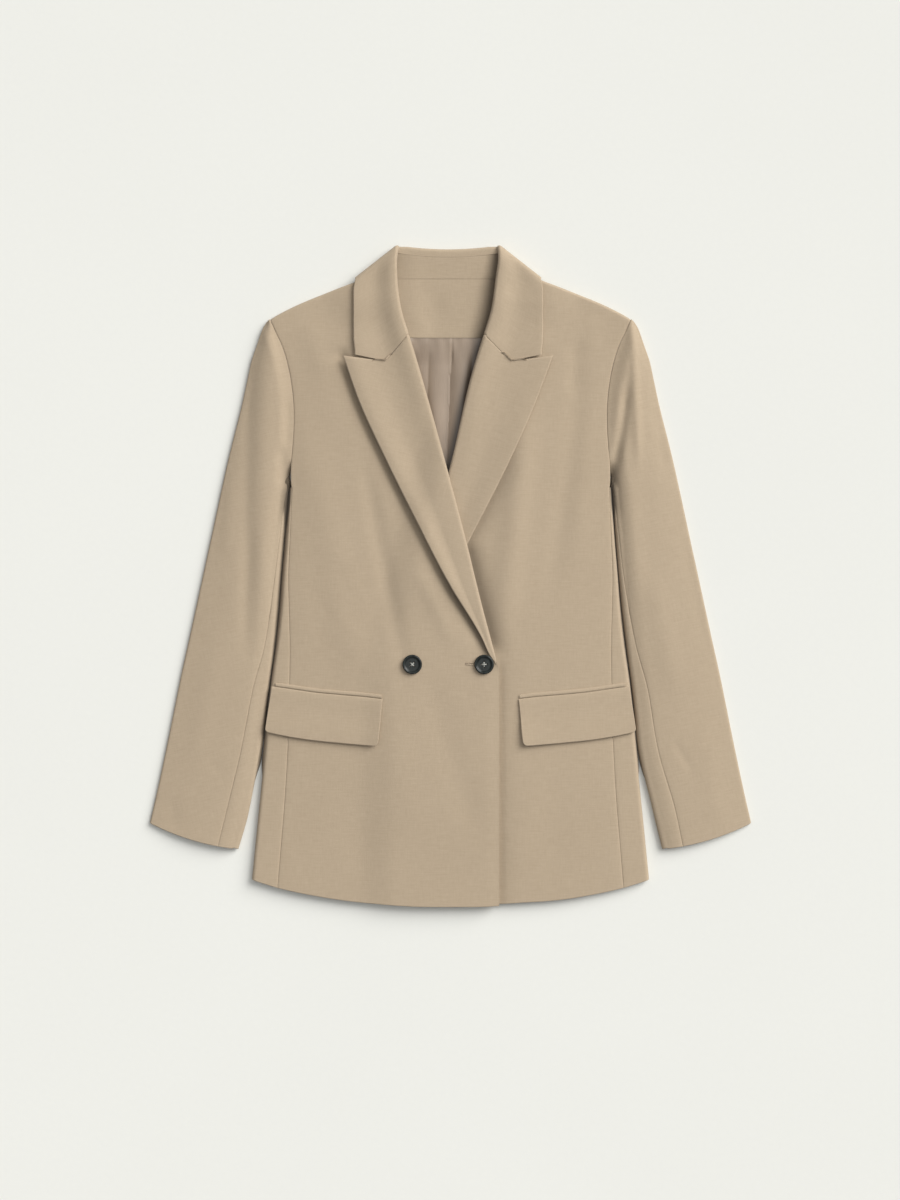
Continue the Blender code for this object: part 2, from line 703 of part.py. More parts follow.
def collar_half(side):
    """The ribs of half of the collar on one side, from the gorge to the middle back.

    Each rib is a leg, a nose at the fold and the leaf or fall; they run over the shoulder."""
    stops = [0.3, 0.65, 1.0]
    ribs = []

    def heights(x, y):
        return front_height(side, (x + FRONT_SHIFT * side) * side, min(y, 340.0))

    def leaf_gap(part):
        return LAYER_GAP + 0.5 + 1.4 * float(ease(part))

    rib_rolls = [282.4, 299.0, 316.0, 334.0, 354.0, 374.0]
    rib_edges = [259.8, 274.0, 290.0, 306.0, 323.0, 340.0]
    for place, (roll_y, edge_y) in enumerate(zip(rib_rolls, rib_edges)):
        roll = np.array([float(read(ROLL, "out", roll_y)), roll_y])
        outer = np.array([LEAF_CORNER[0] + 1.6 * float(ease((edge_y - 259.0) / 20.0)), edge_y])
        if place == len(rib_rolls) - 1:
            outer[0] -= 0.4
        low = heights(*roll) - FRONT_WALL
        row = turned_section(roll, outer, low, leaf_gap, COLLAR_WALL, COLLAR_LEG, heights, stops)
        if place < 2:
            notch = np.array(NOTCH) + np.array([0.3, 0.5])
            row = bent(row, roll, notch, outer, (1.0, 0.3)[place], 6)
        ribs.append(row)

    corner = np.array([COLLAR_CORNER_X, COLLAR_TOP_Y])
    shoulder = np.array(COLLAR_SHOULDER)
    along = (shoulder - corner) / np.linalg.norm(shoulder - corner)
    outward = np.array([along[1], -along[0]])
    outward = outward if outward[1] > 0 else -outward
    leaf_top = heights(*shoulder) + leaf_gap(0.5) + COLLAR_WALL
    middle = leaf_top / 2
    length = float(np.linalg.norm(shoulder - corner))
    nose = [-90.0, -45.0, 0.0, 45.0, 90.0]
    for turn in (60.0, 20.0, -20.0, -60.0):
        swing = math.radians(turn)
        leg_reach = float(mix(COLLAR_LEG, COLLAR_BACK_LEG, (60.0 - turn) / 120.0))
        row = []
        depths = [COLLAR_NOSE_REACH * (1.0 - math.cos(math.radians(angle))) for angle in nose]
        rises = [math.sin(math.radians(angle)) for angle in nose]
        nose_half = (COLLAR_BACK_HEIGHT / 2 + 0.3)
        spots = [(leg_reach, -1.0)] + list(zip(depths, rises))
        spots += [(COLLAR_NOSE_REACH + (length - COLLAR_NOSE_REACH) * part, 1.0) for part in stops]
        for depth, rise in spots:
            radius = middle - nose_half * (1.0 - rise)
            flat = 0.62 * radius
            base = corner + along * depth - outward * 0.62 * middle
            spot = base + outward * flat * math.cos(swing)
            row.append((spot[0], spot[1], middle + radius * math.sin(swing)))
        ribs.append(row)

    for place in range(5):
        part = (place + 0.6) / 4.6
        roll_x = COLLAR_CORNER_X * (1.0 - part)
        fold_y = COLLAR_TOP_Y - 1.0 - COLLAR_SAG * (1.0 - (roll_x / COLLAR_CORNER_X) ** 2)
        roll = np.array([roll_x, fold_y])
        fall_x = (COLLAR_SHOULDER[0] - 4.0) * (1.0 - part)
        fall_y = fold_y - FALL_DEPTH + 17.0 * (fall_x / COLLAR_SHOULDER[0]) ** 2
        outer = np.array([fall_x, fall_y])
        down = (outer - roll) / np.linalg.norm(outer - roll)
        leg = roll + np.array([0.0, -1.0]) * COLLAR_BACK_LEG
        row = [(leg[0], leg[1], COLLAR_BACK_HEIGHT)]
        row += arc(0.0, COLLAR_BACK_HEIGHT, roll, down, COLLAR_NOSE_REACH, 90.0, -90.0, 4)
        width = float(np.linalg.norm(outer - roll))
        for stop in stops:
            spot = roll + down * (COLLAR_NOSE_REACH + (width - COLLAR_NOSE_REACH) * stop)
            row.append((spot[0], spot[1], 0.0))
        ribs.append(row)
    return np.array(ribs)


def collar():
    """Upper collar and under collar together: leaf, over the shoulder, and the fall behind."""
    left = collar_half(1)
    right = collar_half(-1)
    shift = np.array([FRONT_SHIFT, 0.0, 0.0])
    mirror = np.array([-1.0, 1.0, 1.0])
    cloth("collar", np.concatenate([left + shift, (right * mirror + shift)[::-1][1:]]), COLLAR_WALL)


def inside_strip(name, top_y, bottom_y, reach, base, wall, rows, columns, colour, ridge=0.0):
    """A piece that lies inside the neck, between the roll lines; base is its under face."""
    grid = []
    for row_part in np.linspace(0.0, 1.0, rows + 1):
        row = []
        for part in np.linspace(-1.0, 1.0, columns + 1):
            x = reach(float(mix(bottom_y(0.0), top_y(0.0), row_part))) * part
            y = float(mix(bottom_y(x), top_y(x), row_part))
            pleat = ridge * math.exp(-((x / 5.0) ** 2))
            row.append((x + FRONT_SHIFT, y, base(x + FRONT_SHIFT, y) + wall + pleat))
        grid.append(row)
    cloth(name, grid, wall, colour)


def neck_inside():
    """The collar stand, the back neck facing, and the lining that shows in the neck."""
    stand_base = COLLAR_BACK_HEIGHT - COLLAR_WALL

    def fold_y(x):
        return COLLAR_TOP_Y - 1.0 - COLLAR_SAG * (1.0 - min(1.0, abs(x) / COLLAR_CORNER_X) ** 2)

    inside_strip(
        "collar_stand",
        lambda x: fold_y(x) - COLLAR_BACK_LEG - 0.4,
        lambda x: NECK_SEAM_Y + 0.2,
        lambda y: 55.0,
        lambda x, y: stand_base,
        COLLAR_WALL,
        1,
        5,
        CLOTH,
    )
    inside_strip(
        "back_neck_facing",
        lambda x: NECK_SEAM_Y - 0.2,
        lambda x: FACING_EDGE_Y + 0.2,
        lambda y: 54.0 - 10.0 * float(ease((310.0 - y) / 35.0)),
        lambda x, y: back_height(x, y) + BACK_WALL + INSIDE_GAP,
        FACING_WALL,
        4,
        4,
        CLOTH,
    )
    inside_strip(
        "back_lining",
        lambda x: FACING_EDGE_Y - 0.2,
        lambda x: 108.0,
        lambda y: 6.0 + 40.0 * float(ease((y - 96.0) / 190.0)),
        lambda x, y: back_height(x, y) + BACK_WALL + INSIDE_GAP,
        LINING_WALL,
        6,
        8,
        LINING,
        ridge=0.9,
    )


# Pockets and buttons


def pocket(side):
    """A flap that hangs over the front and side panel, and the narrow welt that it comes from."""
    across = np.arange(len(FLAP["across"]))
    flap_rows, welt_rows = [], []

    def above(x, y):
        return front_height(side, x * side, y)

    for part in np.linspace(1.0, 0.0, FLAP_ROWS + 1):
        row = []
        for place in across:
            lean = FLAP_LEAN * part * (place / across[-1])
            top_y, bottom_y = FLAP["top_y"][place], FLAP["bottom_y"][place]
            x = FLAP["x"][place] + lean
            y = float(mix(top_y, bottom_y, part))
            lift = LAYER_GAP + FLAP_EDGE_LIFT * part + FLAP_WALL
            row.append((x, y, above(x, y) + lift))
        flap_rows.append(row)
    for part in (0.0, 1.0):
        row = []
        for place in across[::2]:
            x = FLAP["x"][place] + (WELT_IN if place == 0 else 0.0)
            x = min(x, 206.0)
            y = FLAP["top_y"][place] + 0.5 + WELT_WIDTH * part
            row.append((x, y, above(x, y) + LAYER_GAP + WELT_WALL))
        welt_rows.append(row)
    side_name = "right" if side < 0 else "left"
    cloth("pocket_flap_" + side_name, on_side(side, flap_rows), FLAP_WALL)
    cloth("pocket_welt_" + side_name, on_side(side, welt_rows), WELT_WALL)


def button(name, x):
    """A four-hole button with a raised rim and a shallow well."""
    centre = (x + FRONT_SHIFT, BUTTON_Y)
    base = max(top_front_height(x + FRONT_SHIFT + dx, BUTTON_Y + dy) for dx in (-9, 9) for dy in (-9, 9))
    bottom = base + BUTTON_LIFT
    top = bottom + BUTTON_THICKNESS
    profile = (
        (0.0, bottom),
        (BUTTON_RADIUS - 2.0, bottom),
        (BUTTON_RADIUS - 0.5, bottom + 0.9),
        (BUTTON_RADIUS, bottom + 2.2),
        (BUTTON_RADIUS - 0.4, top - 0.5),
        (BUTTON_RADIUS - 1.1, top),
        (BUTTON_RADIUS - BUTTON_RIM, top - 0.5),
        (BUTTON_RADIUS - BUTTON_RIM - 0.6, top - BUTTON_WELL),
        (0.0, top - BUTTON_WELL - 0.2),
    )
    disc = bmesh.new()
    corners = [disc.verts.new((radius * MM, 0.0, height * MM)) for radius, height in profile]
    edges = [disc.edges.new(pair) for pair in zip(corners, corners[1:])]
    bmesh.ops.spin(
        disc, geom=corners + edges, angle=math.tau, steps=24, axis=(0, 0, 1), cent=(0, 0, 0), use_merge=True
    )
    bmesh.ops.remove_doubles(disc, verts=disc.verts, dist=1e-6)
    bmesh.ops.recalc_face_normals(disc, faces=disc.faces)
    piece = add_object(name, disc, BUTTON, 0.35)
    piece.location = (centre[0] * MM, centre[1] * MM, 0.0)
    drills = bmesh.new()
    for across in (-1, 1):
        for along in (-1, 1):
            made = bmesh.ops.create_cone(
                drills,
                cap_ends=True,
                segments=10,
                radius1=BUTTON_HOLE_RADIUS * MM,
                radius2=BUTTON_HOLE_RADIUS * MM,
                depth=3 * BUTTON_THICKNESS * MM,
            )
            spot = (across * BUTTON_HOLE_OFFSET * MM, along * BUTTON_HOLE_OFFSET * MM, bottom * MM)
            bmesh.ops.translate(drills, verts=made["verts"], vec=spot)
    cutter = add_object(name + "_holes", drills, BUTTON, 0.35)
    cutter.location = piece.location
    cutter.hide_render = True
    cutter.display_type = "WIRE"
    holes = piece.modifiers.new("holes", "BOOLEAN")
    holes.operation = "DIFFERENCE"
    holes.object = cutter


def main():
    for existing in list(bpy.data.objects):
        bpy.data.objects.remove(existing)
    for side in (-1, 1):
        front(side)
        side_panel(side)
        back(side)
        sleeve(side)
        lapel(side)
        pocket(side)
    collar()
    neck_inside()
    button("button_right", -BUTTON_X)
    button("button_fastened", BUTTON_X)


main()
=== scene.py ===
"""A double breasted blazer laid flat on its back, fastened right front over left.

Every cloth piece is a grid of points laid out by its maker's sizes, given a wall and rounded
edges. +Y runs from the hem to the collar, +X to the wearer's left and +Z up from the surface.
The tables are in millimetres.
"""

import math

import bmesh
import bpy
import numpy as np
from mathutils import Matrix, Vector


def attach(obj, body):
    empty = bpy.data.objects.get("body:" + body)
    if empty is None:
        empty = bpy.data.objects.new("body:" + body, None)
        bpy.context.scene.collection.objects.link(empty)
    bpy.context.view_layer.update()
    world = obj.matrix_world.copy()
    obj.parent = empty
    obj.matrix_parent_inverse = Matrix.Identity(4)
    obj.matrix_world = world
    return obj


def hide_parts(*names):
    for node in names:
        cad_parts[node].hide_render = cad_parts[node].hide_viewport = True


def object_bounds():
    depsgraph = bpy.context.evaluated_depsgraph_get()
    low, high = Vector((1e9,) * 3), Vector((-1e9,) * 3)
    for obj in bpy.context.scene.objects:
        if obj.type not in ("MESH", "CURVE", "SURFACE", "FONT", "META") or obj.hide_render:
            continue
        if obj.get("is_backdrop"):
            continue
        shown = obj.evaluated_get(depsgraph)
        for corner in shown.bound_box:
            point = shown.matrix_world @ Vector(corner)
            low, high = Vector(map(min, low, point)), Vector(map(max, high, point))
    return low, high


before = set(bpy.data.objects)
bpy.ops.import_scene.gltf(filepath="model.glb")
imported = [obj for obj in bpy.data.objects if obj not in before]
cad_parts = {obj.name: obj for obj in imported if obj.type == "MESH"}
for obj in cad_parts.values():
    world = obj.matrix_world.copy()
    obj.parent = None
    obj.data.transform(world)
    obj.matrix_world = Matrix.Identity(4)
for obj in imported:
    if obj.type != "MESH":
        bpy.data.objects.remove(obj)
CAD_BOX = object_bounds()

bl_info = {
    "name": "Double breasted blazer",
    "version": (1, 0, 0),
    "blender": (4, 5, 0),
    "location": "3D View > Sidebar > Blazer",
    "description": "Lays out a double breasted blazer, piece by piece",
    "category": "Add Mesh",
}

MM = 0.001
BODY = "root"
UV_NAME = "cloth"
# The point attribute that holds the rubbed paler edges and the painted shade in seams and deep
# places.
WEAR_AND_SHADE_NAME = "edge"

# Walls of the cloth as it shows, in millimetres.
FRONT_WALL = 2.2
BACK_WALL = 2.0
SLEEVE_WALL = 2.2
LAPEL_WALL = 1.9
COLLAR_WALL = 1.9
FLAP_WALL = 1.9
WELT_WALL = 1.4
FACING_WALL = 1.4
LINING_WALL = 1.0

# Half the space at a seam, the radius of a free edge as a share of its wall, and the space
# between layers, outside and inside the neck.
HALF_SEAM = 0.06
TURNED_EDGE = 0.42
LAYER_GAP = 0.9
INSIDE_GAP = 0.4

# The flattened tubes: their thickness at the side folds, and how far in the folds are round.
BODY_HEIGHT = 8.6
CUFF_HEIGHT = 7.4
OUTER_FOLD_HEIGHT = 4.2
FOLD_REACH = 3.6
SLEEVE_FOLD_REACH = 7.0
OUTER_FOLD_REACH = 1.8

# The closure and the neck, set a little to the wearer's right of the middle.
FRONT_SHIFT = -2.7
OVERLAP = 59.4
BREAK_Y = -98.4
BUTTON_X = 41.8
BUTTON_Y = -103.2
UNDER_FRONT_SHORT = 1.8
UNDER_LAPEL_END = -2.0

NECK_LIFT = 3.0
NOSE_REACH = 4.2
LAPEL_LEG = 5.0
COLLAR_BACK_LEG = 9.6
COLLAR_BACK_HEIGHT = 8.6
COLLAR_TOP_Y = 387.0
COLLAR_SAG = 4.6
COLLAR_CORNER_X = 59.5
COLLAR_SHOULDER = (109.3, 348.0)
COLLAR_SWING = 66.0
COLLAR_FLATNESS = 0.62

# How many points there are in the leg under a roll, and round its nose.
LEG_POINTS = 2
NOSE_POINTS = 14
FALL_DEPTH = 52.0
NECK_SEAM_Y = 346.4
FACING_EDGE_Y = 277.4
LINING_END_Y = 108.0
GORGE_TOP = (46.0, 281.2)
NOTCH = (73.0, 250.0)
PEAK = (122.8, 256.8)
LEAF_CORNER_X = 108.8

# How far behind the folds the shoulder seam and the sleeve's back seam lie.
SHOULDER_SEAM_BACK = 10.0
SLEEVE_BACK_SEAM_IN = 24.0

# The front runs in under a lapel or the collar as far as the leg under their roll, and a little on.
FRONT_INSET = LAPEL_LEG + 0.6

# How much of the body's folds shows through the lapels and the collar that lie on them.
LEAF_FOLD_SHARE = 0.3


def table(columns, *rows):
    """A table of sizes in millimetres, by column name.

    A table that read() draws a curve through has a first column that only rises."""
    return dict(zip(columns.split(), np.array(rows, float).T))


# Half width of the body at its side fold, and how far in from it the side panel's two seams run.
BODY_SIDE = table(
    "y half_width seam_in back_seam_in",
    (-355.0, 231.8, 30.0, 62.0),
    (-303.0, 226.8, 29.4, 62.0),
    (-255.0, 222.0, 28.7, 62.0),
    (-200.0, 216.4, 26.4, 62.0),
    (-125.0, 209.0, 21.0, 61.0),
    (-80.0, 202.5, 15.0, 60.0),
    (-40.0, 198.0, 9.5, 58.0),
    (0.0, 195.2, 6.0, 53.0),
    (42.0, 191.6, 4.0, 42.0),
    (77.0, 189.2, 3.0, 24.0),
    (103.0, 187.6, 2.2, 10.0),
)

ARMHOLE = table(
    "y half_width",
    (103.0, 186.1),
    (126.0, 186.4),
    (150.0, 184.3),
    (175.0, 182.8),
    (200.0, 183.0),
    (225.0, 185.6),
    (248.0, 190.2),
    (267.0, 196.0),
    (285.0, 204.3),
    (299.5, 210.6),
)

HEM = table(
    "x y",
    (0.0, -386.3),
    (40.0, -385.9),
    (80.0, -383.4),
    (120.0, -379.6),
    (160.0, -373.4),
    (203.0, -364.0),
    (232.0, -355.0),
)

SHOULDER = table(
    "x y",
    (62.0, 361.5),
    (111.0, 343.0),
    (145.4, 330.0),
    (182.3, 314.6),
    (203.0, 304.0),
    (210.6, 299.6),
)

# The roll line, measured out from the middle front towards the side that the lapel is on.
ROLL = table(
    "y out",
    (-98.4, -56.2),
    (-80.8, -51.6),
    (-30.5, -38.3),
    (43.2, -20.3),
    (124.6, 1.2),
    (203.2, 22.6),
    (261.0, 39.4),
    (283.5, 46.4),
    (307.7, 53.8),
    (330.0, 57.6),
    (384.0, 60.0),
)

# The lapels' outer edges.
LAPEL_EDGE = table(
    "y upper lower",
    (-104.0, -56.4, -60.0),
    (-92.5, -48.4, -54.0),
    (-73.5, -39.5, -47.0),
    (-12.6, -2.6, -5.0),
    (63.5, 37.1, 36.0),
    (137.0, 73.5, 73.0),
    (200.0, 102.6, 101.0),
    (256.8, 122.8, 122.2),
)

# One row of the front for each line: where it meets the side or armhole, and the roll or edge.
FRONT_ROWS = table(
    "row outer_y inner_y",
    (0, -357.0, -386.0),
    (1, -295.0, -310.0),
    (2, -230.0, -235.0),
    (3, -165.0, -165.0),
    (4, -110.0, -106.0),
    (5, -84.0, -88.0),
    (6, -52.0, -50.0),
    (7, -16.0, -12.0),
    (8, 25.0, 28.0),
    (9, 65.0, 70.0),
    (10, 103.0, 110.0),
    (11, 126.0, 142.0),
    (12, 150.0, 172.0),
    (13, 175.0, 202.0),
    (14, 200.0, 232.0),
    (15, 225.0, 260.0),
    (16, 248.0, 285.0),
    (17, 267.0, 308.0),
    (18, 285.0, 335.0),
)
UNDERARM_ROW = 10
FRONT_COLUMNS = 66

# One row of the sleeve for each line, from the shoulder to the cuff: its outer fold, its inner
# side (the armhole, then the inner fold on the right and on the left sleeve), and its front seam.
SLEEVE_ROWS = table(
    "step outer_x outer_y inner_y right_x left_x seam_in",
    (0, 214.6, 297.4, 299.5, 210.6, 210.6, 0.0),
    (1, 219.8, 288.0, 285.0, 204.3, 204.3, 0.0),
    (2, 226.2, 270.0, 267.0, 196.0, 196.0, 0.0),
    (3, 233.0, 250.0, 248.0, 190.2, 190.2, 0.0),
    (4, 237.8, 228.0, 225.0, 185.6, 185.6, 0.0),
    (5, 243.4, 202.0, 200.0, 183.0, 183.0, 0.0),
    (6, 249.3, 178.0, 175.0, 182.8, 182.8, 0.0),
    (7, 255.4, 154.0, 150.0, 184.3, 184.3, 0.0),
    (8, 261.0, 131.0, 126.0, 186.6, 186.6, 0.0),
    (9, 265.7, 110.0, 103.0, 189.4, 188.6, 0.6),
    (10, 269.6, 92.0, 88.0, 191.6, 189.8, 1.6),
    (11, 278.2, 52.0, 50.0, 195.8, 193.2, 2.6),
    (12, 290.4, -4.0, -8.0, 200.9, 198.0, 5.0),
    (13, 304.7, -70.0, -80.0, 206.8, 206.2, 9.5),
    (14, 316.2, -122.0, -135.0, 213.8, 213.2, 17.0),
    (15, 329.5, -188.0, -208.0, 223.4, 221.2, 21.5),
    (16, 342.6, -250.0, -275.0, 235.3, 236.4, 25.5),
    (17, 351.6, -289.1, -319.5, 247.6, 247.2, 24.0),
)
UNDERARM_STEP = 9
CUFF_BOW = 4.8

# How far the grain of a left sleeve and of a left lapel is turned, in degrees.
SLEEVE_TURN = 13.0
LAPEL_TURN = -14.0

# Soft folds: each runs from a start to an end, bowed sideways, and stands up or sinks by rise.
BODY_FOLDS = table(
    "start_x start_y end_x end_y bow width rise",
    (-165.0, 160.0, -98.0, -125.0, 4.0, 24.0, 2.2),
    (-100.0, 128.0, -54.0, -110.0, 0.0, 10.0, -1.9),
    (-36.0, 4.0, 2.0, -78.0, 0.0, 9.0, 1.0),
    (-136.0, 18.0, -104.0, -72.0, 0.0, 12.0, -0.7),
    (-166.0, 296.0, -150.0, 236.0, 0.0, 14.0, 1.0),
    (-22.0, -126.0, 32.0, -300.0, 4.0, 17.0, -1.2),
    (-66.0, -150.0, -46.0, -300.0, 0.0, 20.0, 0.9),
    (-120.0, -235.0, -100.0, -345.0, 0.0, 22.0, -0.6),
    (-172.0, 60.0, -166.0, -90.0, 0.0, 14.0, 0.5),
    (88.0, 184.0, 60.0, -66.0, 0.0, 16.0, 4.0),
    (152.0, 262.0, 112.0, -24.0, -6.0, 13.0, -1.7),
    (146.0, 272.0, 143.0, 214.0, 0.0, 9.0, -1.2),
    (160.0, 210.0, 150.0, 20.0, 3.0, 15.0, 0.9),
    (166.0, 300.0, 162.0, 262.0, 0.0, 10.0, 0.6),
    (128.0, -220.0, 118.0, -350.0, 0.0, 20.0, -0.6),
    (92.0, -225.0, 84.0, -340.0, 0.0, 18.0, 0.5),
)
RIGHT_SLEEVE_FOLDS = table(
    "start_x start_y end_x end_y bow width rise",
    (-215.0, 272.0, -218.0, -40.0, 2.0, 13.0, 2.2),
    (-236.0, 262.0, -239.0, -60.0, 0.0, 8.0, -1.2),
    (-232.0, 60.0, -240.0, -90.0, 0.0, 9.0, -1.2),
    (-190.0, 206.0, -191.0, 150.0, 0.0, 5.0, -1.4),
    (-197.0, 150.0, -196.0, 104.0, 0.0, 6.0, -2.0),
    (-256.0, 120.0, -262.0, 20.0, 0.0, 9.0, 0.8),
    (-268.0, -60.0, -300.0, -220.0, 0.0, 13.0, 0.8),
    (-283.0, -214.0, -262.0, -236.0, 0.0, 5.0, -0.5),
    (-326.0, -262.0, -322.0, -296.0, 0.0, 9.0, -0.7),
)
LEFT_SLEEVE_FOLDS = table(
    "start_x start_y end_x end_y bow width rise",
    (213.0, 296.0, 219.0, 130.0, 0.0, 5.5, 2.4),
    (202.5, 150.0, 217.0, -30.0, -1.0, 13.0, 2.2),
    (205.5, 222.0, 189.0, 114.0, -2.0, 5.5, -4.8),
    (243.0, 208.0, 252.0, 120.0, 0.0, 9.0, -0.8),
    (234.0, 0.0, 262.0, -130.0, 0.0, 14.0, 1.2),
    (262.0, -196.0, 281.0, -226.0, 0.0, 4.5, -0.8),
    (276.0, 60.0, 300.0, -80.0, 0.0, 12.0, -0.5),
    (296.0, -180.0, 312.0, -290.0, 0.0, 13.0, 0.7),
)

# The pocket flap's and welt's lower lines, from the front end to the side end.
FLAP = table(
    "x top_y bottom_y",
    (79.2, -143.6, -198.4),
    (96.0, -141.6, -197.2),
    (124.0, -139.2, -194.8),
    (160.0, -135.8, -191.0),
    (189.0, -131.6, -186.2),
    (208.6, -129.0, -182.0),
)
FLAP_DEPTH = 54.0
FLAP_CORNER = 5.0
WELT_WIDTH = 4.8

# How far the flap leans out at its lower line, at its front end and at its side end.
FLAP_LEAN = (5.5, 7.4)

# The button's section, out from its middle and up from its back.
BUTTON_SECTION = table(
    "out up",
    (0.0, 0.0),
    (8.6, 0.0),
    (10.3, 0.7),
    (11.2, 1.9),
    (11.35, 2.9),
    (10.95, 3.6),
    (10.2, 4.0),
    (9.4, 3.85),
    (8.7, 3.2),
    (8.0, 2.65),
    (6.6, 2.45),
    (4.6, 2.5),
    (3.2, 2.4),
    (0.0, 2.35),
)


# The button's four holes: how far out from its middle, and how wide; and the thread's strands.
HOLE_OUT = 2.9
BUTTON_HOLE = 1.9
STRAND_SPACE = 0.42


# Sizes and colours that a user can change


def length_setting(name, description, default, most, least=0.0):
    """A length that a user can change."""
    return bpy.props.FloatProperty(
        name=name,
        description=description,
        default=default,
        min=least,
        max=most,
        precision=5,
        unit="LENGTH",
    )


def colour_setting(name, description, default):
    """A colour that a user can change."""
    return bpy.props.FloatVectorProperty(
        name=name,
        description=description,
        default=default,
        size=3,
        min=0.0,
        max=1.0,
        subtype="COLOR",
    )


class BlazerSettings(bpy.types.PropertyGroup):
    """What a user can change about the blazer"""

    cloth_loft: length_setting(
        "Cloth loft",
        "How far the upper layer stands up between the folds at its sides",
        0.0052,
        0.008,
    )
    fold_depth: bpy.props.FloatProperty(
        name="Fold depth",
        description="How strongly the soft folds show, 1 being as laid out",
        default=0.78,
        min=0.0,
        max=2.0,
        subtype="FACTOR",
    )
    lapel_lift: length_setting(
        "Lapel lift", "How far the upper lapel's free edge stands off the front", 0.0042, 0.006
    )
    roll_swell: length_setting(
        "Roll swell", "How full the lapels are beside their roll line", 0.0009, 0.005
    )
    thread_pitch: length_setting(
        "Thread pitch", "Distance from one thread of the weave to the next", 0.00072, 0.003, 0.0003
    )
    cloth_light: colour_setting(
        "Cloth, light threads", "Colour of the suiting's lighter threads", (0.473, 0.378, 0.271)
    )
    cloth_dark: colour_setting(
        "Cloth, dark threads", "Colour of the suiting's darker threads", (0.394, 0.308, 0.215)
    )
    lining_colour: colour_setting("Lining", "Colour of the satin lining", (0.305, 0.232, 0.170))
    button_colour: colour_setting("Buttons", "Colour of the buttons", (0.011, 0.0135, 0.0125))
    floor_colour: colour_setting(
        "Floor", "Colour of the surface that the blazer lies on", (0.768, 0.772, 0.738)
    )


def settings():
    """The sizes and colours as they are set now."""
    return bpy.context.scene.blazer


# Reading the tables


def read(sizes, column, at):
    """The value of a column at places along the table's first column, on a smooth curve."""
    keys = next(iter(sizes.values()))
    values = sizes[column]
    slopes = np.gradient(values, keys)
    at = np.clip(np.asarray(at, float), keys[0], keys[-1])
    low = np.clip(np.searchsorted(keys, at) - 1, 0, len(keys) - 2)
    span = keys[low + 1] - keys[low]
    part = (at - keys[low]) / span
    start = values[low] * (1 + 2 * part) * (1 - part) ** 2
    start = start + slopes[low] * span * part * (1 - part) ** 2
    end = values[low + 1] * part**2 * (3 - 2 * part)
    end = end + slopes[low + 1] * span * part**2 * (part - 1)
    return start + end


def ease(value):
    """0 below 0, 1 above 1, and a smooth rise between."""
    value = np.clip(value, 0.0, 1.0)
    return value * value * (3.0 - 2.0 * value)


def between(value, low, low_run, high, high_run):
    """0 up to low and from high on, and 1 between them, but for a smooth rise and fall."""
    return ease((value - low) / low_run) * ease((high - value) / high_run)


def hump(away, width):
    """1 where away is 0, and a soft fall on both sides of it, most of it within the width."""
    return np.exp(-((away / width) ** 2))


def mix(start, end, part):
    """The value at a part of the way from start to end."""
    return np.asarray(start, float) * (1.0 - part) + np.asarray(end, float) * part


# Heights of the layers


def neck_lift(x, y):
    """How far the back neck and what lies on it rise over the collar's fall."""
    return NECK_LIFT * ease((y - 286.0) / 40.0) * ease((152.0 - abs(x)) / 36.0)


def folded(folds, x, y):
    """The sum of a table's soft folds at each point."""
    total = np.zeros(np.broadcast(x, y).shape)
    for place in range(len(folds["start_x"])):
        fold = {name: values[place] for name, values in folds.items()}
        run = np.array([fold["end_x"] - fold["start_x"], fold["end_y"] - fold["start_y"]])
        length = math.hypot(*run)
        run = run / length
        away_x, away_y = x - fold["start_x"], y - fold["start_y"]
        along = (away_x * run[0] + away_y * run[1]) / length
        bow = fold["bow"] * 4.0 * np.clip(along, 0, 1) * (1.0 - np.clip(along, 0, 1))
        across = (away_x * run[1] - away_y * run[0] - bow) / fold["width"]
        fade = ease((along + 0.16) / 0.4) * ease((1.16 - along) / 0.4)
        total = total + fold["rise"] * np.exp(-across * across) * fade
    return total * settings().fold_depth


def body_half_width(y):
    """Half the width of the body: at the side folds, and above them at the armholes."""
    underarm = BODY_SIDE["y"][-1]
    side = read(BODY_SIDE, "half_width", y)
    return np.where(y <= underarm, side, read(ARMHOLE, "half_width", y))


def side_distance(x, y):
    """How far in from the body's side fold a point is; the fold starts at the underarm."""
    underarm = BODY_SIDE["y"][-1]
    inside = read(BODY_SIDE, "half_width", y) - abs(x)
    return np.where(y <= underarm, inside, np.hypot(inside, y - underarm))


def rounded(high, distance):
    """The height of the upper layer's outer face at a distance in from the side fold."""
    back = np.clip(1.0 - distance / FOLD_REACH, 0.0, 1.0)
    return high / 2 + high / 2 * np.sqrt(1.0 - back * back)


def sleeve_gap(side, y):
    """How far the sleeve's inner fold is from the body's side, where cloth fills the gap."""
    name = "right_x" if side < 0 else "left_x"
    sleeve_x = np.interp(-y, -SLEEVE_ROWS["inner_y"], SLEEVE_ROWS[name])
    gap = max(0.0, float(sleeve_x) - float(body_half_width(y)))
    return gap * float(between(y, -240.0, 30.0, 132.0, 12.0))


def underarm(y):
    """Where a sleeve is drawn down into the gap below the armhole."""
    return between(y, 52.0, 34.0, 138.0, 20.0)


def gap_shade(x, y, z, inner_x):
    """How much painted shade darkens the cloth down in the gap between a sleeve and the body."""
    deep = ease((5.2 + 4.0 * underarm(y) - z) / 3.2) * ease((11.0 - abs(x - inner_x)) / 5.0)
    return 2.0 * deep * between(y, -262.0, 40.0, 135.0, 20.0)


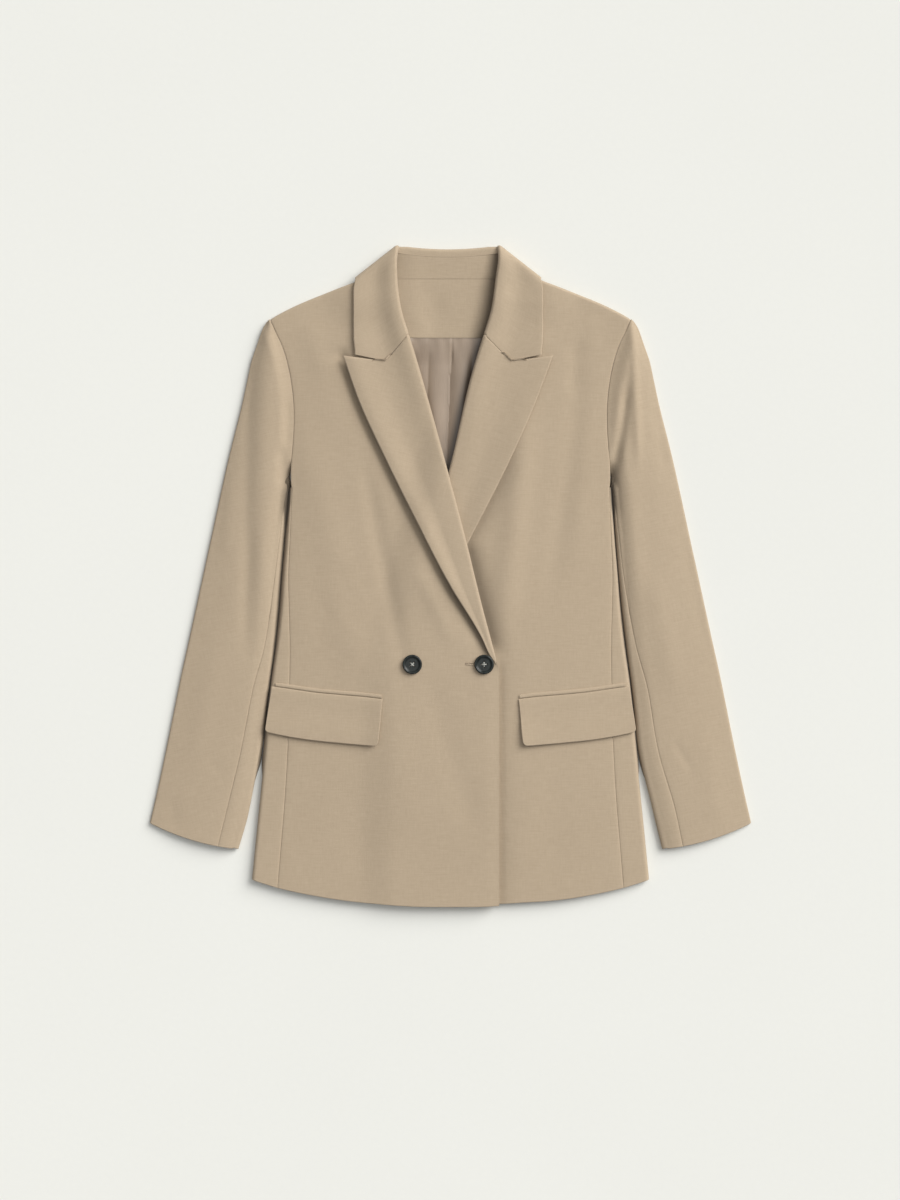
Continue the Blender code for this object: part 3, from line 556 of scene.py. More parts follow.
def torso(x, y, fold_share=1.0):
    """Outer face of the fronts where nothing lies beneath them."""
    half_width = body_half_width(y)
    inside = half_width - abs(x)
    shoulder = read(SHOULDER, "y", abs(x)) - y
    dome = 1.0 - np.clip(abs(x) / half_width, 0.0, 1.0) ** 2.2
    loft = dome * (0.35 + 0.65 * ease((y + 386.0) / 170.0)) * ease(shoulder / 90.0)
    loft = loft * settings().cloth_loft / MM
    near_seam = ease(inside / 16.0) * ease(shoulder / 12.0)
    folds = folded(BODY_FOLDS, x, y) * near_seam * fold_share
    return BODY_HEIGHT + neck_lift(x, y) + loft + folds


def under_inner(y):
    """The under front's edge or roll line, measured to the wearer's left of the middle front."""
    return mix(-OVERLAP, read(ROLL, "out", y), ease((y - BREAK_Y + 14.0) / 14.0))


def below_break(y):
    """0 along the roll lines, rising to 1 just below their lower ends."""
    return ease((-92.0 - y) / 20.0)


def under_front_height(x, y, fold_share=1.0):
    """The front that lies beneath at the closure.

    It sinks along the other front's edge, and beside the lapel that lies on it."""
    beside = x - FRONT_SHIFT - OVERLAP
    sunk = 2.4 * hump(beside + 0.5, 5.0) + 0.9 * hump(beside - 4.0, 11.0)
    sunk = sunk * below_break(y)
    lapel_x = np.maximum(-read(ROLL, "out", y), read(LAPEL_EDGE, "lower", y))
    past_lapel = np.maximum(x - FRONT_SHIFT - lapel_x, 0.0)
    hollow = 3.8 * hump(past_lapel, 13.0) + 1.8 * hump(past_lapel, 4.0)
    hollow = hollow * between(y, -108.0, 30.0, 190.0, 120.0)
    return torso(x, y, fold_share) - sunk - hollow * fold_share


def top_front_height(x, y, fold_share=1.0):
    """The front that lies over it, raised where the other front and its lapel are.

    Its own edge lies closer, and it sinks beside its lapel."""
    over = ease((x - FRONT_SHIFT - under_inner(y) + 46.0) / 44.0)
    over_lapel = over * ease((y + 60.0) / 60.0)
    rise = over * (LAYER_GAP + FRONT_WALL) + over_lapel * (LAPEL_WALL + 0.5)
    edge = ease((x - FRONT_SHIFT - OVERLAP + 16.0) / 16.0) * below_break(y)
    past_lapel = FRONT_SHIFT - read(LAPEL_EDGE, "upper", y) - x
    crease = 3.2 * hump(past_lapel - 1.0, 7.0) + 1.0 * hump(past_lapel - 6.0, 14.0)
    crease = crease * between(y, -100.0, 30.0, 270.0, 20.0)
    return torso(x, y, fold_share) + rise - 0.5 * edge - crease * fold_share


def front_height(side, x, y, fold_share=1.0):
    """The front's outer face on the right (-1) or left (+1) side."""
    height = top_front_height if side < 0 else under_front_height
    return height(x, y, fold_share)


# Making pieces from grids of points


def arc(low, high, edge, inward, reach, start, end, count, belly=0.0):
    """Points round a fold, from the start angle to the end angle in degrees, 90 being its top.

    belly is how far its lower half swells out past the edge."""
    angles = np.radians(np.linspace(start, end, count + 1))
    swelling = np.maximum(0.0, -np.sin(2.0 * angles)) * min(1.0, 2.0 * belly)
    depth = mix(reach * (1.0 - np.cos(angles)), -belly, swelling)
    spots = np.array(edge) + np.outer(depth, inward)
    middle = (low + high) / 2
    return np.column_stack([spots, middle + (high - middle) * np.sin(angles)])


# How far in from a free edge the first points lie, and how deep the rows beside the hem and the
# cuff are in their tables.
NEAR_EDGE = np.array([0.0, 0.2, 0.5, 0.95, 1.7, 3.0, 4.8])
HEM_ROW = 62.0
CUFF_ROW = 42.0


def row_steps(last, count):
    """Places from the first row of a table to the last, closer together near the hem."""
    return np.concatenate([NEAR_EDGE / HEM_ROW, np.linspace(0.14, last, count)])


def distances_over(width, count):
    """Distances over a piece of this width, closer together near both of its edges."""
    near = NEAR_EDGE * min(1.0, width / 24.0)
    middle = np.linspace(near[-1], width - near[-1], count)[1:-1]
    return np.concatenate([near, middle, width - near[::-1]])


def towards(start, end):
    """The direction from one point to another, and the distance."""
    step = np.array(end, float) - np.array(start, float)
    distance = float(np.linalg.norm(step))
    return step / max(distance, 1e-6), distance


def path_lengths(path):
    """The length of a path up to each of its points."""
    steps = np.linalg.norm(np.diff(path, axis=0), axis=1)
    return np.concatenate([[0.0], np.cumsum(steps)])


def spots_along(path, wanted):
    """The points of a path at the lengths wanted along it."""
    lengths = path_lengths(path)
    return np.column_stack([np.interp(wanted, lengths, path[:, axis]) for axis in range(3)])


def evenly(path, count):
    """A path drawn again with points at even spaces, closer near its two ends."""
    return spots_along(path, distances_over(path_lengths(path)[-1], count))


def across_normals(grid):
    """The outward direction at each point of a grid."""
    normals = np.cross(np.gradient(grid, axis=1), np.gradient(grid, axis=0))
    return normals / np.maximum(np.linalg.norm(normals, axis=2, keepdims=True), 1e-9)


def edge_distances(grid):
    """Distances from each of a grid's four sides: first column, last column, first and last row."""
    over = np.linalg.norm(np.diff(grid, axis=1), axis=2)
    over = np.concatenate([np.zeros((grid.shape[0], 1)), np.cumsum(over, axis=1)], axis=1)
    up = np.linalg.norm(np.diff(grid, axis=0), axis=2)
    up = np.concatenate([np.zeros((1, grid.shape[1])), np.cumsum(up, axis=0)], axis=0)
    return {
        "start": over,
        "end": over[:, -1:] - over,
        "bottom": up,
        "top": up[-1:] - up,
    }


def unrolled(grid, turn):
    """Lengths across and along the grain, in metres, with the folds rolled out flat.

    With no turn given, the lengths are those along the grid's own lines."""
    if turn is None:
        distances = edge_distances(grid)
        along = np.broadcast_to(distances["bottom"].mean(axis=1, keepdims=True), grid.shape[:2])
        return np.stack([distances["start"], along], axis=2) * MM
    turn = math.radians(turn)
    across = grid[..., 0] * math.cos(turn) + grid[..., 1] * math.sin(turn)
    along = grid[..., 1] * math.cos(turn) - grid[..., 0] * math.sin(turn)
    steps = np.hypot(np.diff(across, axis=1), np.diff(grid[..., 2], axis=1))
    start = across[:, :1]
    across = np.concatenate([start, start + np.cumsum(steps, axis=1)], axis=1)
    return np.stack([across, along], axis=2) * MM


def on_side(side, grid):
    """A grid drawn on the wearer's left, turned over to the right where side is -1."""
    return grid if side > 0 else grid[:, ::-1] * np.array([-1.0, 1.0, 1.0])


def apart(grid):
    """The x, y and z of a grid's points, each as a grid."""
    return np.moveaxis(np.array(grid), 2, 0)


def side_word(side):
    """The wearer's side in words, for a name."""
    return "right" if side < 0 else "left"


def keep(piece, finish, nodes=()):
    """Gives a finished piece its material and its place under the body, and hides the solids that
    it stands for.
    """
    bpy.context.scene.collection.objects.link(piece)
    piece.data.materials.clear()
    piece.data.materials.append(finish_of(finish))
    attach(piece, BODY)
    if nodes:
        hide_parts(*nodes)


def surface(name, grid, wear_and_shade, flat):
    """A mesh of one layer whose points are the grid's, with its cloth map, rubbed edges and painted
    shade.
    """
    last_row, last_column = grid.shape[0] - 1, grid.shape[1] - 1
    sheet = bmesh.new()
    bmesh.ops.create_grid(sheet, x_segments=last_column, y_segments=last_row, size=0.5)
    cloth_map = sheet.loops.layers.uv.new(UV_NAME)
    # This layer holds each point's rubbed paler edge and its painted shade.
    wear_and_shade_layer = sheet.verts.layers.float.new(WEAR_AND_SHADE_NAME)
    for corner in sheet.verts:
        column = round((corner.co.x + 0.5) * last_column)
        row = round((corner.co.y + 0.5) * last_row)
        corner.co = grid[row, column] * MM
        corner[wear_and_shade_layer] = wear_and_shade[row, column]
        for loop in corner.link_loops:
            loop[cloth_map].uv = flat[row, column]
    area = sum(face.calc_area() for face in sheet.faces)
    mesh = bpy.data.meshes.new(name)
    for edge in sheet.edges:
        edge.smooth = not edge.is_boundary
    for face in sheet.faces:
        face.smooth = True
    sheet.to_mesh(mesh)
    sheet.free()
    return mesh, area


def shaped_edges(grid, wall, seams, edges, dip):
    """The grid sunk along its seams and turned in round its free edges.

    It also gives, at each point, 1 along a free edge, which is drawn rubbed paler, and -1 down in a
    seam, where shade is painted darker."""
    distances = edge_distances(grid)
    turned = TURNED_EDGE * wall
    sunk = np.zeros(grid.shape[:2])
    wear_and_shade = np.zeros(grid.shape[:2])
    for place in seams:
        away = distances[place]
        sunk += dip * (0.5 * np.exp(-away / 0.5) + 0.5 * np.exp(-away / 3.0))
        # Painted shade: each seam is drawn darker down in its groove.
        wear_and_shade -= min(1.0, dip / 0.7) * hump(away, 0.55)
    for place in edges:
        away = distances[place]
        inside = np.clip(turned - away, 0.0, turned)
        sunk = np.maximum(sunk, turned - np.sqrt(turned**2 - inside**2))
        wear_and_shade = np.maximum(wear_and_shade, hump(away, 1.5))
    return grid - across_normals(grid) * sunk[..., None], wear_and_shade


def cloth(
    node,
    grid,
    wall,
    side=1,
    seams=(),
    edges=(),
    turn=0.0,
    finish="suiting",
    dip=0.7,
    shade=0.0,
):
    """A wall of cloth whose outer face is the grid, sunk along its seams and rounded at its rim.

    It stands for the solid named, and is drawn on the wearer's left, then turned over. shade is
    the painted shade: how much darker the cloth is drawn, point by point, where it lies deep
    between two pieces."""
    grid, wear_and_shade = shaped_edges(np.array(grid, float), wall, seams, edges, dip)
    # Painted shade where the cloth lies deep is taken off the same value.
    wear_and_shade = wear_and_shade - shade
    flat = unrolled(grid, turn)
    grid = on_side(side, grid)
    if side < 0:
        wear_and_shade = wear_and_shade[:, ::-1]
        flat = flat[:, ::-1] * np.array([-1.0, 1.0])
    mesh, area = surface(node + "_cloth", grid, wear_and_shade, flat)
    piece = bpy.data.objects.new(node + "_cloth", mesh)
    keep(piece, finish, [node])
    thickness = piece.modifiers.new("wall", "SOLIDIFY")
    thickness.thickness = wall * MM
    thickness.offset = -1.0
    length = max(np.ptp(flat[..., 1], axis=0).max(), 0.01)
    width = max(np.ptp(flat[..., 0], axis=1).max(), 1.01 * area / length)


# Body


def front_outer(y):
    """Distance from the middle to the front's outer boundary: the side seam, then the armhole."""
    side = read(BODY_SIDE, "half_width", y) - read(BODY_SIDE, "seam_in", y)
    return side if y <= BODY_SIDE["y"][-1] else read(ARMHOLE, "half_width", y)


def front_inner(side, y):
    """The front's inner boundary, on the side given: its edge, then just inside the roll."""
    inset = FRONT_INSET * ease((y - BREAK_Y - 3.0) / 16.0)
    return FRONT_SHIFT * side + under_inner(y) + inset


def hem_curve(side, x):
    """How far down the hem is. The left front, which lies beneath, is a little shorter."""
    raised = UNDER_FRONT_SHORT * ease((150.0 - x) / 80.0) if side > 0 else 0.0
    return read(HEM, "y", abs(x)) + raised


def front_rows(side):
    """The front from the hem to just below the shoulder fold, one row of points at a time."""
    steps = row_steps(FRONT_ROWS["row"][-1], 190)
    first_inner, first_outer = FRONT_ROWS["inner_y"][0], FRONT_ROWS["outer_y"][0]
    rows = []
    for step in steps:
        inner_y = float(read(FRONT_ROWS, "inner_y", step))
        outer_y = float(read(FRONT_ROWS, "outer_y", step))
        inner = (float(front_inner(side, inner_y)), inner_y)
        outer = (float(front_outer(outer_y)) - HALF_SEAM, outer_y)
        width = math.hypot(outer[0] - inner[0], outer[1] - inner[1])
        part = distances_over(width, FRONT_COLUMNS) / width
        x = mix(inner[0], outer[0], part)
        y = mix(inner[1], outer[1], part)
        straight = mix(first_inner, first_outer, part)
        y = y + (hem_curve(side, x) - straight) * (1.0 - ease(step / 3.0))
        z = rounded(front_height(side, x * side, y), side_distance(x, y))
        rows.append(np.column_stack([x, y, z]))
    return rows


def shoulder_rows(side, start):
    """Rows that carry the front over the shoulder fold to a seam that lies behind it."""
    neck_x = COLLAR_CORNER_X + FRONT_INSET + FRONT_SHIFT * side
    width = SHOULDER["x"][-1] - HALF_SEAM - neck_x
    x = neck_x + distances_over(width, FRONT_COLUMNS)
    edge = np.column_stack([x, read(SHOULDER, "y", x)])
    inward = start[:, :2] - edge
    room = np.linalg.norm(inward, axis=1, keepdims=True)
    inward = inward / room
    low = neck_lift(edge[:, 0], edge[:, 1])
    rows = []
    for share in (0.8, 0.6, 0.4, 0.2, 0.0):
        spot = edge + inward * mix(FOLD_REACH, room, share)
        rows.append(np.column_stack([spot, front_height(side, spot[:, 0] * side, spot[:, 1])]))
    high = rows[-1][:, 2]
    for angle in np.radians(np.linspace(78, -90, 15)):
        spot = edge + inward * FOLD_REACH * (1.0 - math.cos(angle))
        middle = (low + high) / 2
        rows.append(np.column_stack([spot, middle + (high - middle) * math.sin(angle)]))
    for away in (8.0, SHOULDER_SEAM_BACK):
        spot = edge + inward * away
        rows.append(np.column_stack([spot, neck_lift(spot[:, 0], spot[:, 1])]))
    return rows


def top_front_shade(x, y):
    """How much painted shade darkens the front that lies over beside the lapel on it, most of all
    low down.
    """
    past_lapel = x + FRONT_SHIFT - read(LAPEL_EDGE, "upper", y)
    shade = mix(0.45, 1.3, ease((30.0 - y) / 60.0)) * hump(past_lapel, 9.0)
    return shade * between(y, -112.0, 16.0, 262.0, 20.0)


def under_front_shade(x, y):
    """How much painted shade darkens the front beneath beside the other's roll line, above the
    closure.
    """
    past_roll = x - FRONT_SHIFT + read(ROLL, "out", y)
    return 0.7 * hump(past_roll, 11.0) * between(y, -96.0, 30.0, 60.0, 40.0)


def front(side):
    """A front, from the hem over the shoulder fold to the seam behind it."""
    rows = front_rows(side)
    rows = rows + shoulder_rows(side, rows[-1])
    x, y, _ = apart(rows)
    shade = top_front_shade(x, y) if side < 0 else under_front_shade(x, y)
    side < 0
    name = "front_" + side_word(side)
    cloth(name, rows, FRONT_WALL, side, ["end"], ["bottom"], shade=shade)


def side_panel(side):
    """The panel that wraps round the side fold, from the front's seam to the back's."""
    rows = []
    for step in row_steps(UNDERARM_ROW, 100):
        y = float(read(FRONT_ROWS, "outer_y", step))
        edge_x = float(read(BODY_SIDE, "half_width", y))
        inside = float(read(BODY_SIDE, "seam_in", y)) - HALF_SEAM
        flat_x = edge_x - np.linspace(inside, min(inside, FOLD_REACH), 12)[:-1]
        flat_z = front_height(side, flat_x * side, np.full(len(flat_x), y))
        start = math.degrees(math.acos(1.0 - min(inside, FOLD_REACH) / FOLD_REACH))
        seam_z = float(front_height(side, (edge_x - min(inside, FOLD_REACH)) * side, y))
        belly = 0.5 * sleeve_gap(side, y)
        fold = arc(0.0, seam_z, (edge_x, y), (-1.0, 0.0), FOLD_REACH, start, -90.0, 30, belly)
        path = list(fold)
        if inside > FOLD_REACH + 0.2:
            path = list(np.column_stack([flat_x, np.full(len(flat_x), y), flat_z])) + path
        path.append((edge_x - float(read(BODY_SIDE, "back_seam_in", y)) + HALF_SEAM, y, 0.0))
        row = evenly(np.array(path), 46)
        lowered = hem_curve(side, row[:, 0]) - FRONT_ROWS["outer_y"][0]
        row[:, 1] += lowered * (1.0 - ease(step / 3.0))
        rows.append(row)
    name = "side_panel_" + side_word(side)
    x, y, z = apart(rows)
    shade = gap_shade(x, y, z, read(BODY_SIDE, "half_width", y))
    below = ["back_" + side_word(side)]
    cloth(name, rows, BACK_WALL, side, ["start", "end"], ["bottom"], shade=shade)


def back(side):
    """Half of the back, which lies on the surface, from its middle seam to the side and armhole."""
    rows = []
    for step in np.linspace(0.0, FRONT_ROWS["row"][-1], 60):
        outer_y = float(read(FRONT_ROWS, "outer_y", step))
        if outer_y <= BODY_SIDE["y"][-1]:
            edge_x = float(read(BODY_SIDE, "half_width", outer_y))
            outer_x = edge_x - float(read(BODY_SIDE, "back_seam_in", outer_y)) - HALF_SEAM
        else:
            outer_x = float(read(ARMHOLE, "half_width", outer_y)) - HALF_SEAM
        part = np.linspace(0.0, 1.0, 24)
        x = mix(outer_x, HALF_SEAM, part)
        y = outer_y + ease((outer_y - 150.0) / 135.0) * 30.0 * part
        y = y + (read(HEM, "y", x) + 1.5 - FRONT_ROWS["outer_y"][0]) * (1.0 - ease(step / 3.0))
        rows.append(np.column_stack([x, y, neck_lift(x, y)]))
    x = mix(SHOULDER["x"][-1] - 6.0, HALF_SEAM, np.linspace(0.0, 1.0, 24))
    shoulder = read(SHOULDER, "y", np.maximum(x, 66.0)) - SHOULDER_SEAM_BACK * 1.09 - 1.2
    neck = NECK_SEAM_Y - 8.0 + 15.0 * (x / 66.0) ** 2
    y = np.where(x < 66.0, np.minimum(shoulder, neck), shoulder)
    rows.append(np.column_stack([x, y, neck_lift(x, y)]))
    cloth("back_" + side_word(side), rows, BACK_WALL, side, [], ["bottom"], dip=0.0)


# Sleeves


def sleeve_top(side, spots, inner_away, outer_away, step):
    """Outer face of a sleeve's upper layer: fullest near its inner side, thin at its outer fold."""
    x, y = spots[:, 0] * side, spots[:, 1]
    down = float(ease((step - UNDERARM_STEP) / 8.0))
    base = float(mix(BODY_HEIGHT, CUFF_HEIGHT, down))
    sunk = 1.7 * float(ease((step - 7.0) / 3.0)) * hump(inner_away, 6.0)
    sunk = sunk + 4.0 * underarm(y) * hump(inner_away, 6.0)
    head = float(ease((UNDERARM_STEP + 3.0 - step) / 7.0)) * float(ease((step + 1.0) / 3.0))
    crown = float(mix(2.6, 1.8, down)) + 1.6 * head
    share = inner_away / (inner_away + outer_away)
    rise = crown * ease(inner_away / mix(22.0, 18.0, head))
    fall = (base + crown - OUTER_FOLD_HEIGHT) * np.clip((share - 0.3) / 0.7, 0.0, 1.0) ** 1.8
    folds = RIGHT_SLEEVE_FOLDS if side < 0 else LEFT_SLEEVE_FOLDS
    near_fold = ease(outer_away / 12.0) * ease((inner_away + 4.0) / 6.0)
    return base + rise - fall - sunk + folded(folds, x, y) * near_fold


def sleeve_loop(side, step):
    """The section of a sleeve from its inner side over the top to the outer fold and back under.

    It also gives the lengths along it of the front seam, of the outer fold's end and of the
    under layer's end, and whether the sleeve is a closed tube here."""
    row = {name: float(read(SLEEVE_ROWS, name, step)) for name in SLEEVE_ROWS}
    inner_x = row["right_x"] if side < 0 else row["left_x"]
    closed = float(ease((step - UNDERARM_STEP + 0.8) / 1.0))
    inner = np.array([inner_x + HALF_SEAM * (1.0 - closed), row["inner_y"]])
    outer = np.array([row["outer_x"], row["outer_y"]])
    across, width = towards(inner, outer)
    inner_reach = max(0.05, min(SLEEVE_FOLD_REACH, 0.3 * width) * closed)
    outer_reach = min(OUTER_FOLD_REACH, 0.6 * width)
    bow_share = CUFF_BOW * float(ease(step - 16.0))

    def spots_at(away):
        bow = 4.0 * (away / width) * (1.0 - away / width) * bow_share
        return inner + np.outer(away, across) + np.outer(bow, (0.28, -0.96))

    away = np.linspace(inner_reach, width - outer_reach, 46)
    spots = spots_at(away)
    high = sleeve_top(side, spots, away, width - away, step)
    upper = np.column_stack([spots, high])
    inner_fold = arc(0.0, high[0], inner, across, inner_reach, 0.0, 90.0, 12)[:-1]
    outer_fold = arc(0.0, high[-1], outer, -across, outer_reach, 90.0, -90.0, 26)[1:]
    lower_away = np.linspace(width - outer_reach, inner_reach, 24)[1:]
    lower = np.column_stack([spots_at(lower_away), np.zeros(len(lower_away))])
    above = float(ease((row["inner_y"] - 94.0) / 10.0))
    gap = sleeve_gap(side, row["inner_y"])
    belly = mix(0.5, 1.0, above) * gap + 0.3 * min(1.0, gap)
    closing = arc(0.0, high[0], inner, across, inner_reach, -90.0, 0.0, 14, belly)[1:]
    path = np.concatenate([inner_fold, upper, outer_fold, lower, closing])
    lengths = path_lengths(path)
    away = (path[: len(inner_fold) + len(upper), :2] - inner) @ across
    seam_in = max(row["seam_in"], inner_reach * (1.0 - closed))
    seam = float(np.interp(seam_in, away, lengths[: len(away)]))
    outer_end = lengths[len(inner_fold) + len(upper) + len(outer_fold) - 1]
    under_end = lengths[len(path) - len(closing) - 1]
    return path, lengths, seam, outer_end, under_end, closed


def cut_path(path, lengths, start, end):
    """The stretch of a path between two lengths along it."""
    inside = (lengths > start + 1e-6) & (lengths < end - 1e-6)
    return spots_along(path, np.concatenate([[start], lengths[inside], [end]]))


def sleeve_steps():
    """Places from the cuff up to the shoulder, closer together near the cuff."""
    last = SLEEVE_ROWS["step"][-1]
    return np.concatenate([last - NEAR_EDGE / CUFF_ROW, np.linspace(last - 0.18, 0.0, 150)])


def sleeve(side):
    """The top sleeve and the under sleeve, which meet at a front seam and a back seam."""
    top_rows, under_rows = [], []
    for step in sleeve_steps():
        path, lengths, seam, outer_end, under_end, closed = sleeve_loop(side, step)
        back_seam = outer_end + min(SLEEVE_BACK_SEAM_IN, 0.4 * (under_end - outer_end))
        over = cut_path(path, lengths, seam + HALF_SEAM, back_seam - HALF_SEAM)
        top_rows.append(evenly(over, 68))
        under = cut_path(path, lengths, back_seam + HALF_SEAM, lengths[-1])
        strip = cut_path(path, lengths, 0.0, max(0.05, seam - HALF_SEAM))
        under = np.concatenate([under, strip[1:]])
        length = mix(under_end - back_seam, path_lengths(under)[-1], closed)
        under = cut_path(under, path_lengths(under), 0.0, float(length))
        under[:, 2] += 12.0 * closed * (1.0 - closed)
        under_rows.append(evenly(under, 50))
    word = side_word(side)
    turn = SLEEVE_TURN * side
    inner_x = read(SLEEVE_ROWS, "right_x" if side < 0 else "left_x", sleeve_steps())[:, None]
    x, y, _ = apart(top_rows)
    # Painted shade: the top sleeve is drawn darker beside its inner side under the arm.
    shade = 1.5 * underarm(y) * hump(x - inner_x, 5.5)
    seams = ["start", "end", "top"]
    cloth("top_sleeve_" + word, top_rows, SLEEVE_WALL, side, seams, ["bottom"], turn, shade=shade)
    x, y, z = apart(under_rows)
    shade = gap_shade(x, y, z, inner_x)
    seams = ["start", "end"]
    hems = ["bottom"]
    cloth("under_sleeve_" + word, under_rows, SLEEVE_WALL, side, seams, hems, turn, shade=shade)


# Lapels and collar


def turned_section(roll, outer, low, gap, wall, leg, heights, corner, count=34):
    """A section that turns at the roll line: a short leg under it, a round nose, and the leaf.

    low is the height of the leg's outer face, gap the leaf's space over what it lies on, and
    corner the share of the leaf's width at which one point always falls."""
    across, width = towards(roll, outer)
    reach = min(NOSE_REACH, 0.45 * width)

    def leaf(distances):
        spots = np.array(roll) + np.outer(distances, across)
        part = (distances - reach) / max(width - reach, 1e-6)
        high = heights(spots[:, 0], spots[:, 1]) + gap(part, distances) + wall
        return np.column_stack([spots, high])

    legs = np.linspace(min(leg, 0.8 * width), reach, LEG_POINTS, endpoint=False)
    under = np.array(roll) + np.outer(legs, across)
    under = np.column_stack([under, np.full(len(legs), low)])
    near = np.array([4.8, 2.9, 1.6, 0.7, 0.0]) * min(1.0, width / 24.0)
    middle = reach + (width - reach) * corner
    first = np.linspace(reach, middle, count // 2)
    second = np.linspace(middle, width - near[0], count - count // 2)[1:-1]
    top = leaf(np.concatenate([first, second, width - near]))
    nose = arc(low, float(top[0, 2]), roll, across, reach, -90.0, 90.0, NOSE_POINTS)[:-1]
    return np.concatenate([under, nose, top]), len(under) + len(nose)


def bent(row, roll, corner, outer, amount, skipped):
    """Draws the leaf's points in plan towards a line that bends at a corner."""
    roll, corner, outer = (np.array(spot, float) for spot in (roll, corner, outer))
    first, second = corner - roll, outer - corner
    share = np.linalg.norm(first) / (np.linalg.norm(first) + np.linalg.norm(second))
    spots = row[skipped:, :2]
    part = np.clip(np.linalg.norm(spots - roll, axis=1) / np.linalg.norm(outer - roll), 0, 1)
    share = part[np.argmin(abs(part - share))]
    before = roll + np.outer(np.minimum(part / share, 1.0), first)
    after = np.outer(np.maximum((part - share) / (1.0 - share), 0.0), second)
    row = row.copy()
    row[skipped:, :2] = mix(spots, before + after, amount)
    return row


def roll_out(side, y):
    """How far out the roll line is. The wearer's left one lies a little further in at the neck."""
    further_in = 4.4 * between(y, 130.0, 110.0, 386.0, 50.0)
    return read(ROLL, "out", y) - further_in * (side > 0)


def roll_shade(x, y):
    """How much painted shade darkens the cloth inside the neck where it lies deep beside the rolls.
    """
    left_away = roll_out(1, y) - x
    right_away = x + read(ROLL, "out", y)
    below = ease((290.0 - y) / 30.0)
    left_reach = 23.0 - 6.0 * ease((y - 330.0) / 30.0) - 11.0 * below
    left_shade = mix(1.5, 1.9, below) * ease((left_reach - left_away) / left_reach)
    return left_shade + 0.45 * ease((26.0 - right_away) / 26.0) * (1.0 - below)


def neck_roll(distance):
    """How much higher the roll stands where it turns round the neck."""
    return 3.6 * hump(distance - 5.0, 15.0)


def bed_height(side, x, y):
    """The height of what a lapel or the collar lies on, drawn from the middle of the front."""
    return front_height(side, (x + FRONT_SHIFT * side) * side, y, LEAF_FOLD_SHARE)


def leaf_lift(side, part, distance, up):
    """A lapel's space over the front: full beside the roll, close, then off it at the edge."""
    share = 0.55 if side < 0 else 1.0
    swell = share * settings().roll_swell / MM * hump(distance - 13.0, 13.0)
    swell = swell + neck_roll(distance) * float(ease((up - 0.5) / 0.5))
    edge = settings().lapel_lift / MM * (1.0 if side < 0 else 0.7) * ease((part - 0.45) / 0.55)
    return LAYER_GAP + swell + edge * float(ease(up * 3.0))


def lapel(side):
    """The facing as it shows: from the roll line out to the lapel's edge, its peak and gorge."""
    column = "upper" if side < 0 else "lower"
    start_y = BREAK_Y - 1.0 if side < 0 else UNDER_LAPEL_END
    top_y = GORGE_TOP[1] + 0.2
    corner = 0.45
    grid = []

    def heights(x, y):
        return bed_height(side, x, y)

    for up in np.concatenate([np.linspace(0.0, 0.96, 110), [0.975, 0.986, 0.994, 1.0]]):
        roll_y = float(mix(start_y, top_y, up))
        edge_y = float(mix(start_y - 4.0 * (side < 0), PEAK[1] - 0.6, up))
        roll = np.array([float(roll_out(side, roll_y)), roll_y])
        outer = np.array([max(float(read(LAPEL_EDGE, column, edge_y)), roll[0] + 0.8), edge_y])
        raised = float(ease((roll_y - BREAK_Y) / 20.0)) if side < 0 else 1.0
        covered = 0.0 if side < 0 else float(ease((80.0 - roll_y) / 50.0))

        def gap(part, distance, up=up, raised=raised, covered=covered):
            lifted = mix(leaf_lift(side, part, distance, up), 0.6, covered)
            return lifted * raised - 0.6 * LAPEL_WALL * (1.0 - raised)

        low = float(heights(*roll)) - FRONT_WALL
        row, skipped = turned_section(
            roll, outer, low, gap, LAPEL_WALL, LAPEL_LEG, heights, corner
        )
        bend = max(0.0, (float(up) - 0.72) / 0.28) ** 2
        row = bent(row, roll, np.array(NOTCH) - (0.0, 0.1), outer, bend, skipped)
        row[:, 0] += FRONT_SHIFT * side
        grid.append(row)
    word = side_word(side)
    turn = LAPEL_TURN * side
    below = ["front_" + word + "_cloth"]
    cloth("lapel_" + word, grid, LAPEL_WALL, side, [], ["end", "top"], turn)


# Where each rib of the collar starts at the roll line and ends at the leaf's free edge.
COLLAR_RIBS = table(
    "rib roll_y edge_y",
    (0, 281.6, 257.4),
    (1, 299.0, 273.0),
    (2, 316.0, 290.0),
    (3, 334.0, 306.0),
    (4, 354.0, 323.0),
    (5, 374.0, 340.0),
)


def collar_leaf(side):
    """The collar's ribs from the gorge to the shoulder: a leg, a nose at the fold and the leaf."""

    def heights(x, y):
        return bed_height(side, x, np.minimum(y, 340.0))

    def gap(part, distance):
        swell = settings().roll_swell / MM * hump(distance - 12.0, 12.0)
        return LAYER_GAP + swell + neck_roll(distance) + 2.4 * ease((part - 0.4) / 0.6)

    ribs = []
    for place in np.concatenate([[0.0, 0.03, 0.08], np.linspace(0.15, 5.0, 30)]):
        roll_y = float(np.interp(place, COLLAR_RIBS["rib"], COLLAR_RIBS["roll_y"]))
        edge_y = float(np.interp(place, COLLAR_RIBS["rib"], COLLAR_RIBS["edge_y"]))
        roll = np.array([float(roll_out(side, roll_y)), roll_y])
        outer = (LEAF_CORNER_X + 1.6 * float(ease((edge_y - 259.0) / 20.0)), edge_y)
        low = float(heights(*roll)) - FRONT_WALL
        row, skipped = turned_section(roll, outer, low, gap, COLLAR_WALL, LAPEL_LEG, heights, 0.53)
        bend = max(0.0, 1.0 - 0.45 * float(place)) ** 2
        ribs.append(bent(row, roll, np.array(NOTCH) + (0.05, 0.1), outer, bend, skipped))
    return ribs


